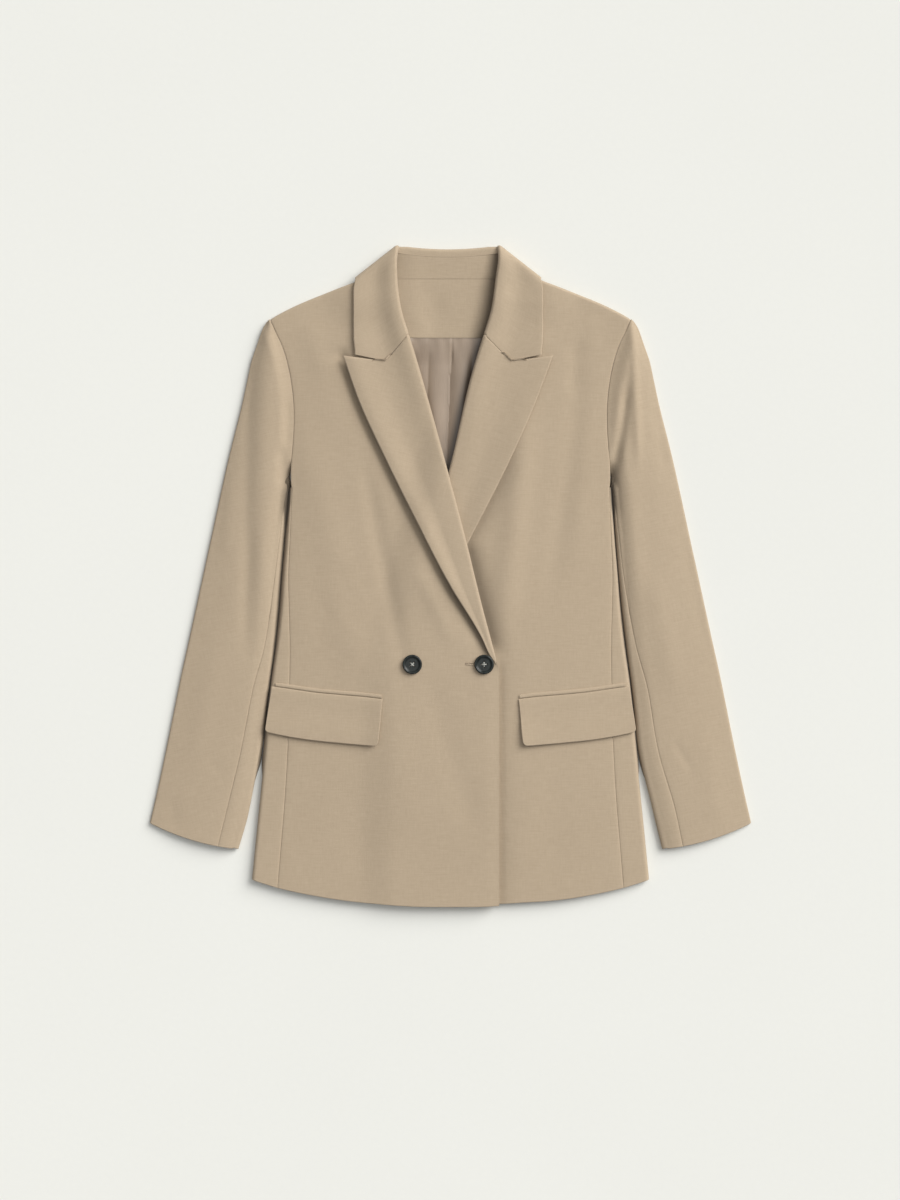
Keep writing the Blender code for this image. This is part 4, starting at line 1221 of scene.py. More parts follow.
def collar_turn(columns, leaf_top):
    """The ribs that carry the collar's leaf over the shoulder and down behind it."""
    corner = np.array([COLLAR_CORNER_X, COLLAR_TOP_Y])
    along, reach = towards(corner, COLLAR_SHOULDER)
    outward = np.array([-along[1], along[0]])
    middle = leaf_top / 2
    nose_half = COLLAR_BACK_HEIGHT / 2 + 0.3
    nose = np.radians(np.linspace(-90.0, 90.0, NOSE_POINTS, endpoint=False))
    leaf = NOSE_REACH + (reach - NOSE_REACH) * columns
    ribs = []
    for turn in np.linspace(COLLAR_SWING, -COLLAR_SWING, 12):
        swing = math.radians(turn)
        leg = mix(LAPEL_LEG, COLLAR_BACK_LEG, (COLLAR_SWING - turn) / (2.0 * COLLAR_SWING))
        leg = float(leg)
        legs = np.linspace(leg, NOSE_REACH, LEG_POINTS, endpoint=False)
        depths = np.concatenate([legs, NOSE_REACH * (1.0 - np.cos(nose)), leaf])
        rises = np.concatenate([-np.ones(LEG_POINTS), np.sin(nose), np.ones(len(leaf))])
        radius = middle - nose_half * (1.0 - rises)
        base = corner + np.outer(depths, along) - outward * COLLAR_FLATNESS * middle
        spots = base + np.outer(COLLAR_FLATNESS * radius * math.cos(swing), outward)
        ribs.append(np.column_stack([spots, middle + radius * math.sin(swing)]))
    return ribs


def neck_fold_y(x):
    """Where the collar's fold is behind the neck."""
    return COLLAR_TOP_Y - 1.0 - COLLAR_SAG * (1.0 - np.minimum(1.0, abs(x) / COLLAR_CORNER_X) ** 2)


def collar_fall(columns):
    """The ribs of the collar's fall behind the neck, from the shoulder to the middle."""
    ribs = []
    for part in np.linspace(0.1, 1.0, 16):
        roll_x = COLLAR_CORNER_X * (1.0 - part)
        fold_y = float(neck_fold_y(roll_x))
        roll = np.array([roll_x, fold_y])
        fall_x = (COLLAR_SHOULDER[0] - 4.0) * (1.0 - part)
        fall_y = fold_y - FALL_DEPTH + 17.0 * (fall_x / COLLAR_SHOULDER[0]) ** 2
        down, width = towards(roll, (fall_x, fall_y))
        legs = np.linspace(COLLAR_BACK_LEG, NOSE_REACH, LEG_POINTS, endpoint=False)
        same = np.ones(LEG_POINTS)
        leg = np.column_stack([roll_x * same, fold_y - legs, COLLAR_BACK_HEIGHT * same])
        nose = arc(0.0, COLLAR_BACK_HEIGHT, roll, down, NOSE_REACH, 90.0, -90.0, NOSE_POINTS)[:-1]
        spots = roll + np.outer(NOSE_REACH + (width - NOSE_REACH) * columns, down)
        fall = np.column_stack([spots, np.zeros(len(spots))])
        ribs.append(np.concatenate([leg, nose, fall]))
    return ribs


def collar():
    """Upper collar and under collar together: leaf, over the shoulder, and the fall behind."""
    halves = []
    for side in (1, -1):
        leaf = collar_leaf(side)
        lengths = path_lengths(leaf[-1])[LEG_POINTS + NOSE_POINTS :]
        columns = (lengths - lengths[0]) / (lengths[-1] - lengths[0])
        turned = collar_turn(columns, float(leaf[-1][-1, 2]))
        half = np.array(leaf + turned + collar_fall(columns))
        # The ribs are evened out where the leaf, the turn over the shoulder and the fall meet.
        first, last = len(leaf) - 3, len(leaf) + len(turned) + 2
        for _ in range(6):
            between = (half[first - 1 : last - 1] + half[first + 1 : last + 1]) / 2
            half[first:last] = mix(half[first:last], between, 0.5)
        halves.append(half)
    left = halves[0] + np.array([FRONT_SHIFT, 0.0, 0.0])
    right = halves[1] * np.array([-1.0, 1.0, 1.0]) + np.array([FRONT_SHIFT, 0.0, 0.0])
    whole = np.concatenate([left, right[::-1][1:]])
    seams = ["bottom", "top"]
    cloth("collar", whole, COLLAR_WALL, 1, seams, ["end"], None, dip=0.15)


# Inside the neck


def inside_strip(node, top_y, bottom_y, reach, height, wall, rows, seams, finish="suiting"):
    """A piece that lies inside the neck, between the roll lines. height is its upper face's."""
    part = np.linspace(-1.0, 1.0, 81)
    grid = []
    for up in np.concatenate([[0.0, 0.02, 0.05], np.linspace(0.09, 0.91, rows), [0.95, 0.98, 1.0]]):
        x = reach(float(mix(bottom_y(0.0), top_y(0.0), up))) * part
        y = mix(bottom_y(x), top_y(x), up)
        grid.append(np.column_stack([x + FRONT_SHIFT, y, height(x, y)]))
    spots = np.array(grid)
    shade = roll_shade(spots[..., 0] - FRONT_SHIFT, spots[..., 1])
    cloth(node, grid, wall, 1, seams, [], 0.0, finish, dip=0.12, shade=shade)


def bowl(x, y, middle):
    """The height of what lies inside the neck.

    It rises to meet the collar on the wearer's right, and stays a little low on the left."""
    roll = read(ROLL, "out", y)
    side = torso(roll, y, LEAF_FOLD_SHARE) - FRONT_WALL - 1.0
    side = np.where(x > 0, middle - 0.9, side)
    return middle + (side - middle) * np.clip(abs(x) / roll, 0.0, 1.05) ** 3.0


def inside_rolls(y):
    """How far out from the middle the pieces inside the neck run, to just under the rolls."""
    return float(read(ROLL, "out", y)) + 0.5


def level(y):
    """A piece's boundary that runs straight across."""
    return lambda x: y + 0.0 * x


def collar_stand():
    """The stand inside the collar's fold, down to the seam at the back of the neck."""
    inside_strip(
        "collar_stand",
        lambda x: neck_fold_y(x) - COLLAR_BACK_LEG - 0.1,
        level(NECK_SEAM_Y + 0.05),
        inside_rolls,
        lambda x, y: bowl(x, y, COLLAR_BACK_HEIGHT - 0.9 * ease((NECK_SEAM_Y + 30.0 - y) / 30.0)),
        COLLAR_WALL,
        10,
        ["bottom"],
    )


def back_neck_facing():
    """The facing of suiting below the neck seam, a shallow bowl between the lapels."""

    def height(x, y):
        sunk = 1.3 * np.exp(-(((x + 16.0) / 15.0) ** 2 + ((y - 306.0) / 24.0) ** 2))
        rest = NECK_LIFT + BACK_WALL + INSIDE_GAP + FACING_WALL + 0.7
        return bowl(x, y, rest) - sunk

    inside_strip(
        "back_neck_facing",
        level(NECK_SEAM_Y - 0.05),
        level(FACING_EDGE_Y + 0.2),
        inside_rolls,
        height,
        FACING_WALL,
        34,
        ["bottom", "top"],
    )


def back_lining():
    """The lining below the facing, eased into it, with its pleat turned down the middle."""

    def height(x, y):
        line = -0.1 - 3.6 * ease((276.0 - y) / 150.0) - FRONT_SHIFT
        away = x - line
        swell = 2.7 * np.sin(math.pi * np.clip(abs(away) / 25.0, 0.0, 1.0)) ** 0.85
        fold = np.where(away < 0, swell + 1.0 * np.exp(away / 2.0), swell)
        fold = fold * ease((y - 90.0) / 90.0)
        slit = 1.8 * hump(away - 2.0, 1.1) * ease((y - 240.0) / 24.0)
        soft = 0.3 * np.sin(x / 6.0 + y / 40.0) * ease((y - 120.0) / 100.0)
        eased = np.exp(-((FACING_EDGE_Y - y) / 11.0)) * ease((FACING_EDGE_Y - y) / 3.0)
        puckers = 0.55 * np.sin(x / 2.5 + 0.7 * np.sin(x / 9.0)) + 0.3 * np.sin(x / 4.1 + 1.0)
        rest = BACK_WALL + INSIDE_GAP + LINING_WALL + 0.2
        facing = NECK_LIFT + BACK_WALL + INSIDE_GAP + FACING_WALL + 0.6
        joined = ease((y - 244.0) / 33.0)
        shaped = (fold - slit + soft) * (1.0 - 0.8 * joined) + puckers * eased
        return mix(rest, bowl(x, y, facing), joined) + shaped

    inside_strip(
        "back_lining",
        level(FACING_EDGE_Y - 0.2),
        level(LINING_END_Y),
        lambda y: 6.0 + 40.0 * float(ease((y - 96.0) / 190.0)),
        height,
        LINING_WALL,
        110,
        ["top"],
        "lining",
    )


# Pockets


def corner_rise(away, reach):
    """How far a flap's lower line rises round a corner, at a distance in from the flap's end."""
    corner = np.clip(away / reach, 0.0, 1.0)
    return reach * (1.0 - np.sqrt(1.0 - (1.0 - corner) ** 2))


def pocket(side):
    """A flap that hangs over the front and side panel, and the narrow welt that it comes from."""
    ends = FLAP["x"][0], FLAP["x"][-1]
    x = ends[0] + distances_over(ends[1] - ends[0], 44)
    top, bottom = read(FLAP, "top_y", x), read(FLAP, "bottom_y", x)
    bottom = bottom + corner_rise(x - ends[0], FLAP_CORNER)
    bottom = bottom + corner_rise(ends[1] - x, 0.7 * FLAP_CORNER)
    lean = mix(*FLAP_LEAN, (x - ends[0]) / (ends[1] - ends[0]))
    flap, welt = [], []
    for part in distances_over(FLAP_DEPTH, 22)[::-1] / FLAP_DEPTH:
        y = mix(top, bottom, part)
        lifted = 1.7 * ease((part - 0.3) / 0.7) + 0.7 * part * hump(x - 96.0, 22.0)
        lifted = lifted + 1.5 * part * hump(x - ends[0], 11.0)
        spot_x = x + lean * part
        high = front_height(side, spot_x * side, y) + 0.3 + FLAP_WALL + lifted
        flap.append(np.column_stack([spot_x, y, high]))
    x = np.linspace(ends[0] + 1.2, ends[1] - 4.5, 50)
    for part in (0.0, 0.15, 0.35, 0.65, 0.85, 1.0):
        y = read(FLAP, "top_y", x) + 0.4 + WELT_WIDTH * part
        high = front_height(side, x * side, y) + 0.2 + WELT_WALL + 0.3 * math.sin(math.pi * part)
        welt.append(np.column_stack([x, y, high]))
    word = side_word(side)
    below = ["front_" + word + "_cloth", "side_panel_" + word + "_cloth"]
    edges = ["start", "end", "bottom"]
    cloth("pocket_flap_" + word, flap, FLAP_WALL, side, ["top"], edges, dip=1.2)
    edges = ["bottom"]
    cloth("pocket_welt_" + word, welt, WELT_WALL, side, ["top"], edges, dip=0.8)


# Buttons and the buttonhole


def tube(path, radius, sides=8):
    """A closed bmesh tube of thread round a path that may be a loop."""
    path = np.array(path, float)
    looped = np.linalg.norm(path[0] - path[-1]) < 1e-6
    ahead = np.gradient(path, axis=0)
    if looped:
        ahead[0] = ahead[-1] = path[1] - path[-2]
    ahead = ahead / np.linalg.norm(ahead, axis=1, keepdims=True)
    beside = np.cross(ahead, (0.0, 0.0, 1.0))
    beside = beside / np.linalg.norm(beside, axis=1, keepdims=True)
    above = np.cross(beside, ahead)
    radius = np.broadcast_to(radius, len(path))
    thread = bmesh.new()
    bmesh.ops.create_grid(thread, x_segments=sides, y_segments=len(path) - 1, size=0.5)
    for corner in thread.verts:
        angle = math.tau * (corner.co.x + 0.5)
        row = round((corner.co.y + 0.5) * (len(path) - 1))
        reach = beside[row] * math.cos(angle) + above[row] * math.sin(angle)
        corner.co = (path[row] + reach * radius[row]) * MM
    bmesh.ops.remove_doubles(thread, verts=thread.verts, dist=1e-7)
    bmesh.ops.holes_fill(thread, edges=thread.edges, sides=sides)
    bmesh.ops.recalc_face_normals(thread, faces=thread.faces)
    return thread


def add_made(name, made, finish, nodes=()):
    """A piece from a finished bmesh, smooth but for its sharp edges."""
    mesh = bpy.data.meshes.new(name)
    made.to_mesh(mesh)
    made.free()
    mesh.shade_smooth()
    mesh.set_sharp_from_angle(angle=math.radians(42))
    piece = bpy.data.objects.new(name, mesh)
    keep(piece, finish, nodes)
    return piece


def button_disc():
    """The button's section turned round its middle."""
    disc = bmesh.new()
    corners = [
        disc.verts.new((out * MM, 0.0, up * MM))
        for out, up in zip(BUTTON_SECTION["out"], BUTTON_SECTION["up"])
    ]
    edges = [disc.edges.new(pair) for pair in zip(corners, corners[1:])]
    bmesh.ops.spin(
        disc,
        geom=corners + edges,
        angle=math.tau,
        steps=72,
        axis=(0, 0, 1),
        cent=(0, 0, 0),
        use_merge=True,
    )
    bmesh.ops.remove_doubles(disc, verts=disc.verts, dist=1e-6)
    bmesh.ops.recalc_face_normals(disc, faces=disc.faces)
    return disc


def drill(piece, holes):
    """Cuts the thread holes right through a button, in its mesh."""
    drills = bmesh.new()
    size = BUTTON_HOLE / 2 * MM
    for hole in holes:
        made = bmesh.ops.create_cone(
            drills, cap_ends=True, segments=20, radius1=size, radius2=size, depth=0.012
        )
        bmesh.ops.translate(drills, verts=made["verts"], vec=(*(hole * MM), 0.0))
    cutter_mesh = bpy.data.meshes.new(piece.name + "_drills")
    drills.to_mesh(cutter_mesh)
    drills.free()
    cutter = bpy.data.objects.new(piece.name + "_drills", cutter_mesh)
    bpy.context.scene.collection.objects.link(cutter)
    cut = piece.modifiers.new("holes", "BOOLEAN")
    cut.object = cutter
    bpy.context.view_layer.update()
    drilled = piece.evaluated_get(bpy.context.evaluated_depsgraph_get())
    finished = bpy.data.meshes.new_from_object(drilled)
    piece.modifiers.clear()
    bpy.data.objects.remove(cutter)
    piece.data = finished


def sew(node, holes, centre, base):
    """The threads that cross over the button, three strands to each pair of opposite holes."""
    part = np.linspace(0.0, 1.0, 15)
    for number, (start, end) in enumerate(((0, 2), (1, 3))):
        first, last = holes[start], holes[end]
        aside = np.array([-(last - first)[1], (last - first)[0]]) / np.linalg.norm(last - first)
        for place, letter in zip((-1, 0, 1), "abc"):
            spots = mix(first[None, :], last[None, :], part[:, None])
            spots = spots + aside * STRAND_SPACE * place + centre
            high = base + 2.55 + 0.28 * number + 0.42 * np.sin(math.pi * part)
            high = high - 2.3 * (2 * part - 1) ** 10
            thread = tube(np.column_stack([spots, high]), 0.24)
            add_made("%s_thread_%d_%s" % (node, number + 1, letter), thread, "thread")


def button(node, x, turn):
    """A four-hole button with a raised rim and a shallow well, and the thread through it."""
    centre = np.array([x + FRONT_SHIFT, BUTTON_Y])
    around = centre + 9.0 * np.array([(-1, -1), (-1, 1), (1, -1), (1, 1)])
    base = float(top_front_height(around[:, 0], around[:, 1]).mean()) + 0.1
    angles = np.radians(turn + 90.0 * np.arange(4))
    holes = HOLE_OUT * np.column_stack([np.cos(angles), np.sin(angles)])
    piece = add_made(node + "_disc", button_disc(), "button", [node])
    drill(piece, holes)
    piece.data.transform(Matrix.Translation((centre[0] * MM, centre[1] * MM, base * MM)))
    sew(node, holes, centre, base)


def buttonhole():
    """The worked buttonhole that the fastened button comes through: thread round a cut."""
    start, end = FRONT_SHIFT + 20.8, FRONT_SHIFT + BUTTON_X - 1.0
    y = BUTTON_Y + 0.8
    turn = np.linspace(0.0, math.tau, 97)
    half = (end - start) / 2
    spots_x = start + half + (half - 1.3) * np.clip(1.4 * np.cos(turn), -1, 1) + 1.2 * np.cos(turn)
    spots_y = y + 1.15 * np.sin(turn)
    high = top_front_height(spots_x, spots_y) + 0.3
    radius = 0.62 + 0.09 * np.sin(turn * 60.0)
    path = np.column_stack([spots_x, spots_y, high])
    add_made("buttonhole_stitching", tube(path, radius, 10), "buttonhole")


# Finishes. The scale of a noise is the number of its changes in a metre.


class Value:
    """A shader socket on which numbers can be worked out as in a plain expression."""

    def __init__(self, finish, socket):
        self.finish = finish
        self.socket = socket

    def maths(self, operation, other=None, first=None):
        """A Math node on this value, with another after it or before it."""
        values = [self] if first is None else [first, self]
        values = values if other is None else values + [other]
        return self.finish.node("ShaderNodeMath", {"operation": operation}, dict(enumerate(values)))

    def __add__(self, other):
        return self.maths("ADD", other)

    def __radd__(self, other):
        return self.maths("ADD", first=other)

    def __sub__(self, other):
        return self.maths("SUBTRACT", other)

    def __rsub__(self, other):
        return self.maths("SUBTRACT", first=other)

    def __mul__(self, other):
        return self.maths("MULTIPLY", other)

    def __rmul__(self, other):
        return self.maths("MULTIPLY", first=other)

    def __truediv__(self, other):
        return self.maths("DIVIDE", other)


class Finish:
    """A material under construction, with its Principled shader."""

    def __init__(self, name, colour):
        self.material = bpy.data.materials.new(name + "_finish")
        self.material.use_nodes = True
        self.material.diffuse_color = (*colour, 1.0)
        self.tree = self.material.node_tree
        self.shader = self.tree.nodes["Principled BSDF"]

    def node(self, kind, settings=None, values=None, output=0):
        """Adds a node with its settings, then its sockets' values or links; gives one output."""
        made = self.tree.nodes.new(kind)
        for name, setting in (settings or {}).items():
            setattr(made, name, setting)
        for name, value in (values or {}).items():
            if isinstance(value, Value):
                self.tree.links.new(value.socket, made.inputs[name])
            else:
                made.inputs[name].default_value = value
        return Value(self, made.outputs[output])

    def set(self, **values):
        """Sets the shader's own sockets, or links them. Their names have _ for spaces."""
        for name, value in values.items():
            socket = self.shader.inputs[name.replace("_", " ")]
            if isinstance(value, Value):
                self.tree.links.new(value.socket, socket)
            else:
                socket.default_value = value

    def parts(self, vector):
        """The three parts of a vector."""
        made = self.node("ShaderNodeSeparateXYZ", values={0: vector})
        outputs = made.socket.node.outputs
        return [Value(self, outputs[place]) for place in range(3)]

    def joined(self, x, y, z=0.0):
        """A vector from its three parts."""
        return self.node("ShaderNodeCombineXYZ", values={0: x, 1: y, 2: z})

    def on_cloth(self):
        """Lengths across and along the grain, in metres."""
        return self.parts(self.node("ShaderNodeUVMap", {"uv_map": UV_NAME}))[:2]

    def wear_and_shade(self):
        """1 along a free edge, which is rubbed paler, and below 0 where shade is painted in a seam
        or where the cloth lies deep.
        """
        return self.node("ShaderNodeAttribute", {"attribute_name": WEAR_AND_SHADE_NAME}, output=2)

    def place(self):
        """The place of a point in the object's own frame."""
        return self.node("ShaderNodeTexCoord", output=3)

    def noise(self, vector, scale, detail=2.0, roughness=0.5):
        """Soft unevenness, about 0.5."""
        values = {"Vector": vector, "Scale": scale, "Detail": detail, "Roughness": roughness}
        return self.node("ShaderNodeTexNoise", {"noise_dimensions": "3D"}, values)

    def streaks(self, across, along, seed=0.0, detail=1.0, roughness=0.5):
        """Noise on the cloth, drawn out by scaling the lengths across and along the grain."""
        return self.noise(self.joined(across, along, seed), 1.0, detail, roughness)

    def mixed(self, part, first, second):
        """A colour between two others."""
        values = {0: part, 6: first, 7: second}
        return self.node("ShaderNodeMix", {"data_type": "RGBA", "clamp_factor": True}, values, 2)

    def spread(self, value, low, high, to_low=0.0, to_high=1.0):
        """A value between low and high, spread over another range."""
        values = {0: value, 1: low, 2: high, 3: to_low, 4: to_high}
        return self.node("ShaderNodeMapRange", {"clamp": True}, values)

    def bump(self, height, distance, strength=1.0, under=None):
        """A normal from heights, the distance being in metres; under is a broader normal."""
        values = {"Height": height, "Distance": distance, "Strength": strength}
        if under is not None:
            values["Normal"] = under
        return self.node("ShaderNodeBump", values=values)


def full(colour, share=1.0):
    """A colour with its alpha, made darker or lighter by a share."""
    return tuple(min(1.0, part * share) for part in colour[:3]) + (1.0,)


def plain_weave(across, along, pitch):
    """Height of a plain weave: threads that pass over and under each other in turn."""
    u, v = across * (1.0 / pitch), along * (1.0 / pitch)
    whole_u, whole_v = u.maths("FLOOR"), v.maths("FLOOR")
    warp = ((u - whole_u) * math.pi).maths("SINE")
    weft = ((v - whole_v) * math.pi).maths("SINE")
    warp_up = ((v + whole_u) * math.pi).maths("SINE").maths("ABSOLUTE")
    even = ((whole_u + whole_v) * 0.5).maths("FRACT") * 2.0
    over = warp * (0.45 + warp_up * 0.55)
    under = weft * (0.45 + warp_up * 0.55)
    return over * even + under * (1.0 - even)


def suiting_finish():
    """Fine plain-weave wool and linen suiting: slubbed threads, matt, rubbed paler at its edges,
    with painted shade darkening its seams and where it lies deep.
    """
    chosen = settings()
    finish = Finish("suiting", chosen.cloth_light)
    across, along = finish.on_cloth()
    wear_and_shade = finish.wear_and_shade()
    warp_slub = finish.streaks(across * 820.0, along * 60.0)
    weft_slub = finish.streaks(across * 55.0, along * 820.0, 4.0)
    cloud = finish.streaks(across * 22.0, along * 14.0, 9.0, 4.0, 0.62)
    fleck = finish.streaks(across * 260.0, along * 260.0, 2.0, 2.0, 0.7)
    weave = plain_weave(across, along, chosen.thread_pitch)
    tone = warp_slub * 0.4 + weft_slub * 0.5 + cloud * 0.22 + fleck * 0.3 + weave * 0.14
    tone = finish.spread(tone, 0.45, 1.1)
    colour = finish.mixed(tone, full(chosen.cloth_dark), full(chosen.cloth_light))
    colour = finish.mixed(wear_and_shade * 0.15, colour, full(chosen.cloth_light, 1.15))
    # Painted shade: the cloth is drawn darker in its seams and where it lies deep.
    colour = finish.mixed(wear_and_shade * -0.55, colour, full(chosen.cloth_dark, 0.32))
    height = weave * 0.5 + warp_slub * 0.3 + weft_slub * 0.3
    broad = finish.bump(cloud, 0.0012, 0.2)
    normal = finish.bump(height, 0.00035, 0.5, broad)
    rough = finish.spread(warp_slub + wear_and_shade * -0.3, 0.2, 0.8, 0.82, 0.93)
    finish.set(Base_Color=colour, Roughness=rough, Normal=normal)
    finish.set(Sheen_Weight=0.12, Sheen_Roughness=0.6, Specular_IOR_Level=0.25)
    return finish.material


def lining_finish():
    """Satin lining: fine cross ribs, a soft sheen, and slightly uneven dye."""
    chosen = settings()
    finish = Finish("lining", chosen.lining_colour)
    across, along = finish.on_cloth()
    float_threads = finish.streaks(across * 2600.0, along * 60.0)
    cloud = finish.streaks(across * 30.0, along * 24.0, 3.0, 3.0)
    rib = ((across + along) * (math.tau / 0.0006)).maths("SINE")
    tone = finish.spread(float_threads * 0.5 + cloud * 0.5, 0.35, 0.65)
    colour = finish.mixed(tone, full(chosen.lining_colour, 0.9), full(chosen.lining_colour, 1.08))
    # Painted shade: the lining is drawn darker in its seam and deep beside the rolls.
    colour = finish.mixed(finish.wear_and_shade() * -0.5, colour, full(chosen.lining_colour, 0.3))
    rough = finish.spread(float_threads, 0.3, 0.7, 0.34, 0.44)
    normal = finish.bump(float_threads + rib * 0.12, 0.0001, 0.35)
    finish.set(Base_Color=colour, Roughness=rough, Normal=normal)
    finish.set(Sheen_Weight=0.1, Sheen_Roughness=0.4, Specular_IOR_Level=0.6)
    return finish.material


def button_finish():
    """Dark horn-like resin with a faint cloud in it, and a gloss that varies with the cloud."""
    chosen = settings()
    finish = Finish("button", chosen.button_colour)
    spot = finish.place()
    x, y, z = finish.parts(spot)
    cloud = finish.noise(finish.joined(x, y * 0.4, z), 260.0, 3.0, 0.55)
    fine = finish.noise(spot, 2400.0, 2.0)
    colour = finish.mixed(
        finish.spread(cloud, 0.35, 0.7),
        full(chosen.button_colour, 0.75),
        full(chosen.button_colour, 2.1),
    )
    rough = finish.spread(cloud + fine * 0.3, 0.4, 0.9, 0.26, 0.42)
    normal = finish.bump(fine, 0.00004, 0.25)
    finish.set(Base_Color=colour, Roughness=rough, Normal=normal)
    finish.set(Specular_IOR_Level=0.32)
    return finish.material


def twisted_thread(name, colour):
    """Sewing thread, with the twist of its strands and a slightly uneven colour."""
    finish = Finish(name, colour)
    spot = finish.place()
    x, y, z = finish.parts(spot)
    twist = ((x + y + z * 2.0) * (math.tau / 0.0005)).maths("SINE")
    uneven = finish.noise(spot, 1500.0, 2.0)
    tone = finish.spread(uneven + twist * 0.12, 0.3, 0.75)
    colour = finish.mixed(tone, full(colour, 0.72), full(colour, 1.15))
    rough = finish.spread(uneven, 0.3, 0.7, 0.6, 0.75)
    normal = finish.bump(twist, 0.0001, 0.6)
    finish.set(Base_Color=colour, Roughness=rough, Normal=normal)
    finish.set(Sheen_Weight=0.1)
    return finish.material


def floor_finish():
    """A plain pale painted floor, very slightly uneven in tone and gloss."""
    chosen = settings()
    finish = Finish("floor", chosen.floor_colour)
    spot = finish.place()
    cloud = finish.noise(spot, 2.5, 3.0)
    grain = finish.noise(spot, 160.0, 2.0)
    tone = finish.spread(cloud * 0.6 + grain * 0.4, 0.35, 0.65)
    colour = finish.mixed(tone, full(chosen.floor_colour, 0.988), full(chosen.floor_colour, 1.006))
    rough = finish.spread(grain, 0.3, 0.7, 0.8, 0.88)
    finish.set(Base_Color=colour, Roughness=rough, Normal=finish.bump(grain, 0.0002, 0.15))
    finish.set(Specular_IOR_Level=0.2)
    return finish.material


FINISH_MAKERS = {
    "suiting": suiting_finish,
    "lining": lining_finish,
    "button": button_finish,
    "thread": lambda: twisted_thread("thread", (0.46, 0.46, 0.42)),
    "buttonhole": lambda: twisted_thread("buttonhole", (0.46, 0.36, 0.255)),
    "floor": floor_finish,
}


def finish_of(name):
    """The material of this name, made the first time that it is asked for."""
    return bpy.data.materials.get(name + "_finish") or FINISH_MAKERS[name]()


# Floor, light and camera


def floor():
    """A wide flat floor, just below the blazer."""
    made = bmesh.new()
    bmesh.ops.create_grid(made, x_segments=1, y_segments=1, size=80.0)
    bmesh.ops.translate(made, verts=made.verts, vec=(0.0, 0.0, -0.0006))
    mesh = bpy.data.meshes.new("floor")
    made.to_mesh(mesh)
    made.free()
    mesh.materials.append(finish_of("floor"))
    piece = bpy.data.objects.new("floor", mesh)
    bpy.context.scene.collection.objects.link(piece)
    piece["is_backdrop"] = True


def sun(name, azimuth, elevation, angle, energy, colour):
    """A sun lamp whose light comes from this compass angle and height, in degrees."""
    lamp = bpy.data.lights.new(name, "SUN")
    lamp.energy = energy
    lamp.angle = math.radians(angle)
    lamp.color = colour
    holder = bpy.data.objects.new(name, lamp)
    holder.rotation_euler = (0.0, math.radians(90.0 - elevation), math.radians(azimuth))
    bpy.context.scene.collection.objects.link(holder)


def light():
    """A broad low light from past the left shoulder, a wide one above, and an even fill."""
    sun("key", 38.0, 33.0, 42.0, 3.55, (1.0, 0.985, 0.955))
    sun("above", 60.0, 79.0, 60.0, 0.83, (1.0, 0.99, 0.97))
    world = bpy.data.worlds.new("studio")
    world.use_nodes = True
    fill = world.node_tree.nodes["Background"]
    fill.inputs["Color"].default_value = (0.965, 0.985, 1.0, 1.0)
    fill.inputs["Strength"].default_value = 0.262
    bpy.context.scene.world = world
    bpy.context.scene.view_settings.view_transform = "Standard"


def camera():
    """Straight down over the blazer, with its collar at the top of the view."""
    lens = bpy.data.cameras.new("camera")
    lens.sensor_width = 36.0
    lens.sensor_fit = "VERTICAL"
    lens.sensor_height = 36.0
    lens.lens = 76.92
    lens.clip_end = 60.0
    lens.dof.use_dof = False
    view = bpy.data.objects.new("camera", lens)
    view.location = (-0.0006, -0.0283, 3.0)
    bpy.context.scene.collection.objects.link(view)
    bpy.context.scene.camera = view


# Operators, panel and the run


def on_both_sides(make):
    """Makes a piece for the wearer's left, then the one for the right."""
    for side in (1, -1):
        make(side)
    return {"FINISHED"}


class BLAZER_OT_fronts(bpy.types.Operator):
    """Lays out the two fronts, the right one over the left"""

    bl_idname = "blazer.fronts"
    bl_label = "Fronts"

    def execute(self, context):
        return on_both_sides(front)


class BLAZER_OT_side_panels(bpy.types.Operator):
    """Wraps the side panels round the side folds"""

    bl_idname = "blazer.side_panels"
    bl_label = "Side panels"

    def execute(self, context):
        return on_both_sides(side_panel)


class BLAZER_OT_back(bpy.types.Operator):
    """Lays the two halves of the back on the surface"""

    bl_idname = "blazer.back"
    bl_label = "Back"

    def execute(self, context):
        return on_both_sides(back)


class BLAZER_OT_sleeves(bpy.types.Operator):
    """Lays out the top sleeves and the under sleeves"""

    bl_idname = "blazer.sleeves"
    bl_label = "Sleeves"

    def execute(self, context):
        return on_both_sides(sleeve)


class BLAZER_OT_lapels(bpy.types.Operator):
    """Turns the peak lapels back along their roll lines"""

    bl_idname = "blazer.lapels"
    bl_label = "Lapels"

    def execute(self, context):
        return on_both_sides(lapel)


class BLAZER_OT_collar(bpy.types.Operator):
    """Folds the collar round the neck and over the shoulders"""

    bl_idname = "blazer.collar"
    bl_label = "Collar"

    def execute(self, context):
        collar()
        return {"FINISHED"}


class BLAZER_OT_neck(bpy.types.Operator):
    """Lays the collar stand, the facing and the lining inside the neck"""

    bl_idname = "blazer.neck"
    bl_label = "Inside of the neck"

    def execute(self, context):
        collar_stand()
        back_neck_facing()
        back_lining()
        return {"FINISHED"}


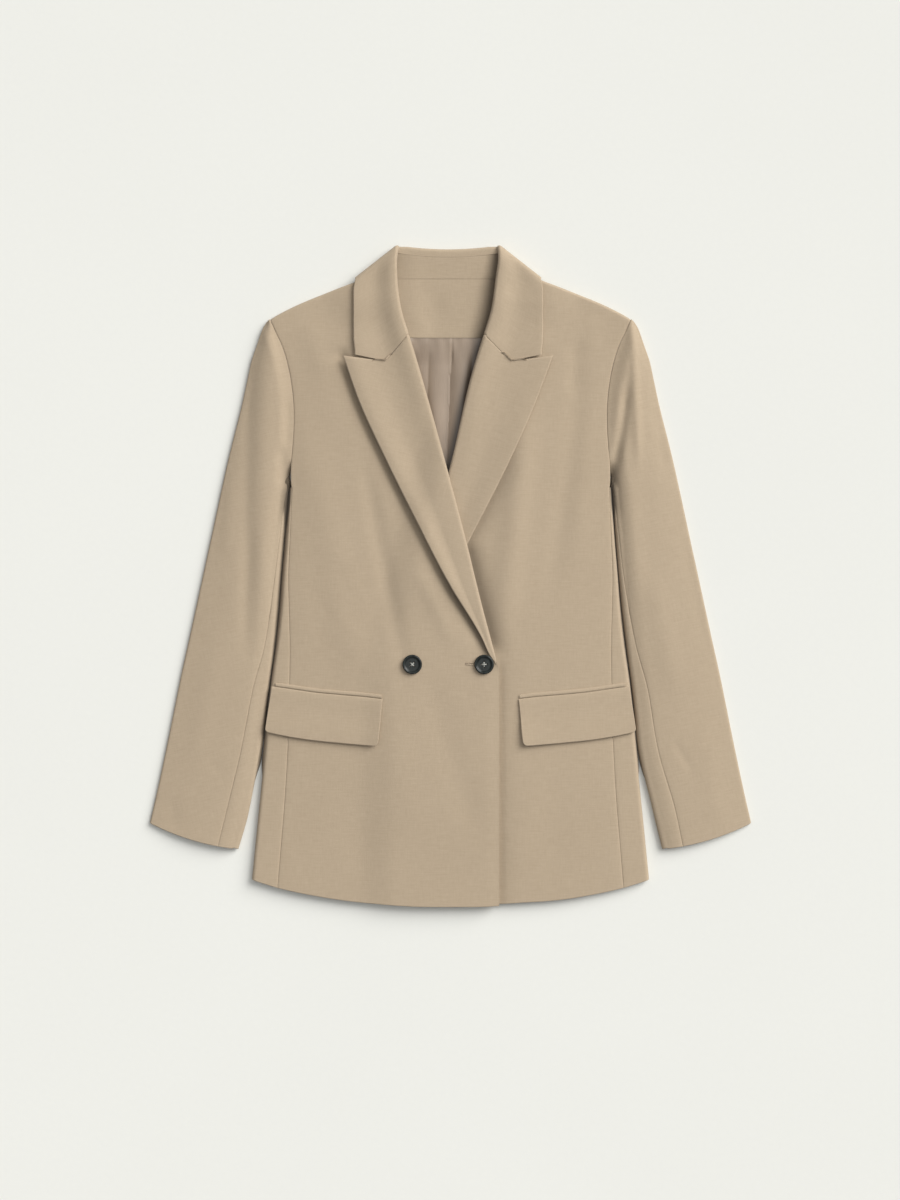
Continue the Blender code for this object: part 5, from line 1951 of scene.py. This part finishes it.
class BLAZER_OT_pockets(bpy.types.Operator):
    """Lays the pocket welts and flaps on the fronts"""

    bl_idname = "blazer.pockets"
    bl_label = "Pockets"

    def execute(self, context):
        return on_both_sides(pocket)


class BLAZER_OT_buttons(bpy.types.Operator):
    """Sews on the two buttons and works the buttonhole"""

    bl_idname = "blazer.buttons"
    bl_label = "Buttons and buttonhole"

    def execute(self, context):
        button("button_right", -BUTTON_X, 45.0)
        button("button_fastened", BUTTON_X, 0.0)
        buttonhole()
        return {"FINISHED"}


class BLAZER_OT_stage(bpy.types.Operator):
    """Sets the floor, the light and the camera"""

    bl_idname = "blazer.stage"
    bl_label = "Floor, light and camera"

    def execute(self, context):
        floor()
        light()
        camera()
        return {"FINISHED"}


OPERATORS = (
    BLAZER_OT_fronts,
    BLAZER_OT_side_panels,
    BLAZER_OT_back,
    BLAZER_OT_sleeves,
    BLAZER_OT_lapels,
    BLAZER_OT_collar,
    BLAZER_OT_neck,
    BLAZER_OT_pockets,
    BLAZER_OT_buttons,
    BLAZER_OT_stage,
)


class BLAZER_PT_sidebar(bpy.types.Panel):
    """The blazer's sizes, colours and pieces"""

    bl_idname = "BLAZER_PT_sidebar"
    bl_label = "Double breasted blazer"
    bl_space_type = "VIEW_3D"
    bl_region_type = "UI"
    bl_category = "Blazer"

    def draw(self, context):
        for name in BlazerSettings.__annotations__:
            self.layout.prop(context.scene.blazer, name)
        for operator in OPERATORS:
            self.layout.operator(operator.bl_idname)


CLASSES = (BlazerSettings, *OPERATORS, BLAZER_PT_sidebar)


def register():
    for each in CLASSES:
        bpy.utils.register_class(each)
    bpy.types.Scene.blazer = bpy.props.PointerProperty(type=BlazerSettings)


def unregister():
    del bpy.types.Scene.blazer
    for each in reversed(CLASSES):
        bpy.utils.unregister_class(each)


def main():
    register()
    for operator in OPERATORS:
        group, name = operator.bl_idname.split(".")
        getattr(getattr(bpy.ops, group), name)()
    boxes = {"cad": CAD_BOX, "visual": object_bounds()}
    for name, box in boxes.items():
        boxes[name] = [[float(size) for size in corner] for corner in box]


if __name__ == "__main__":
    main()
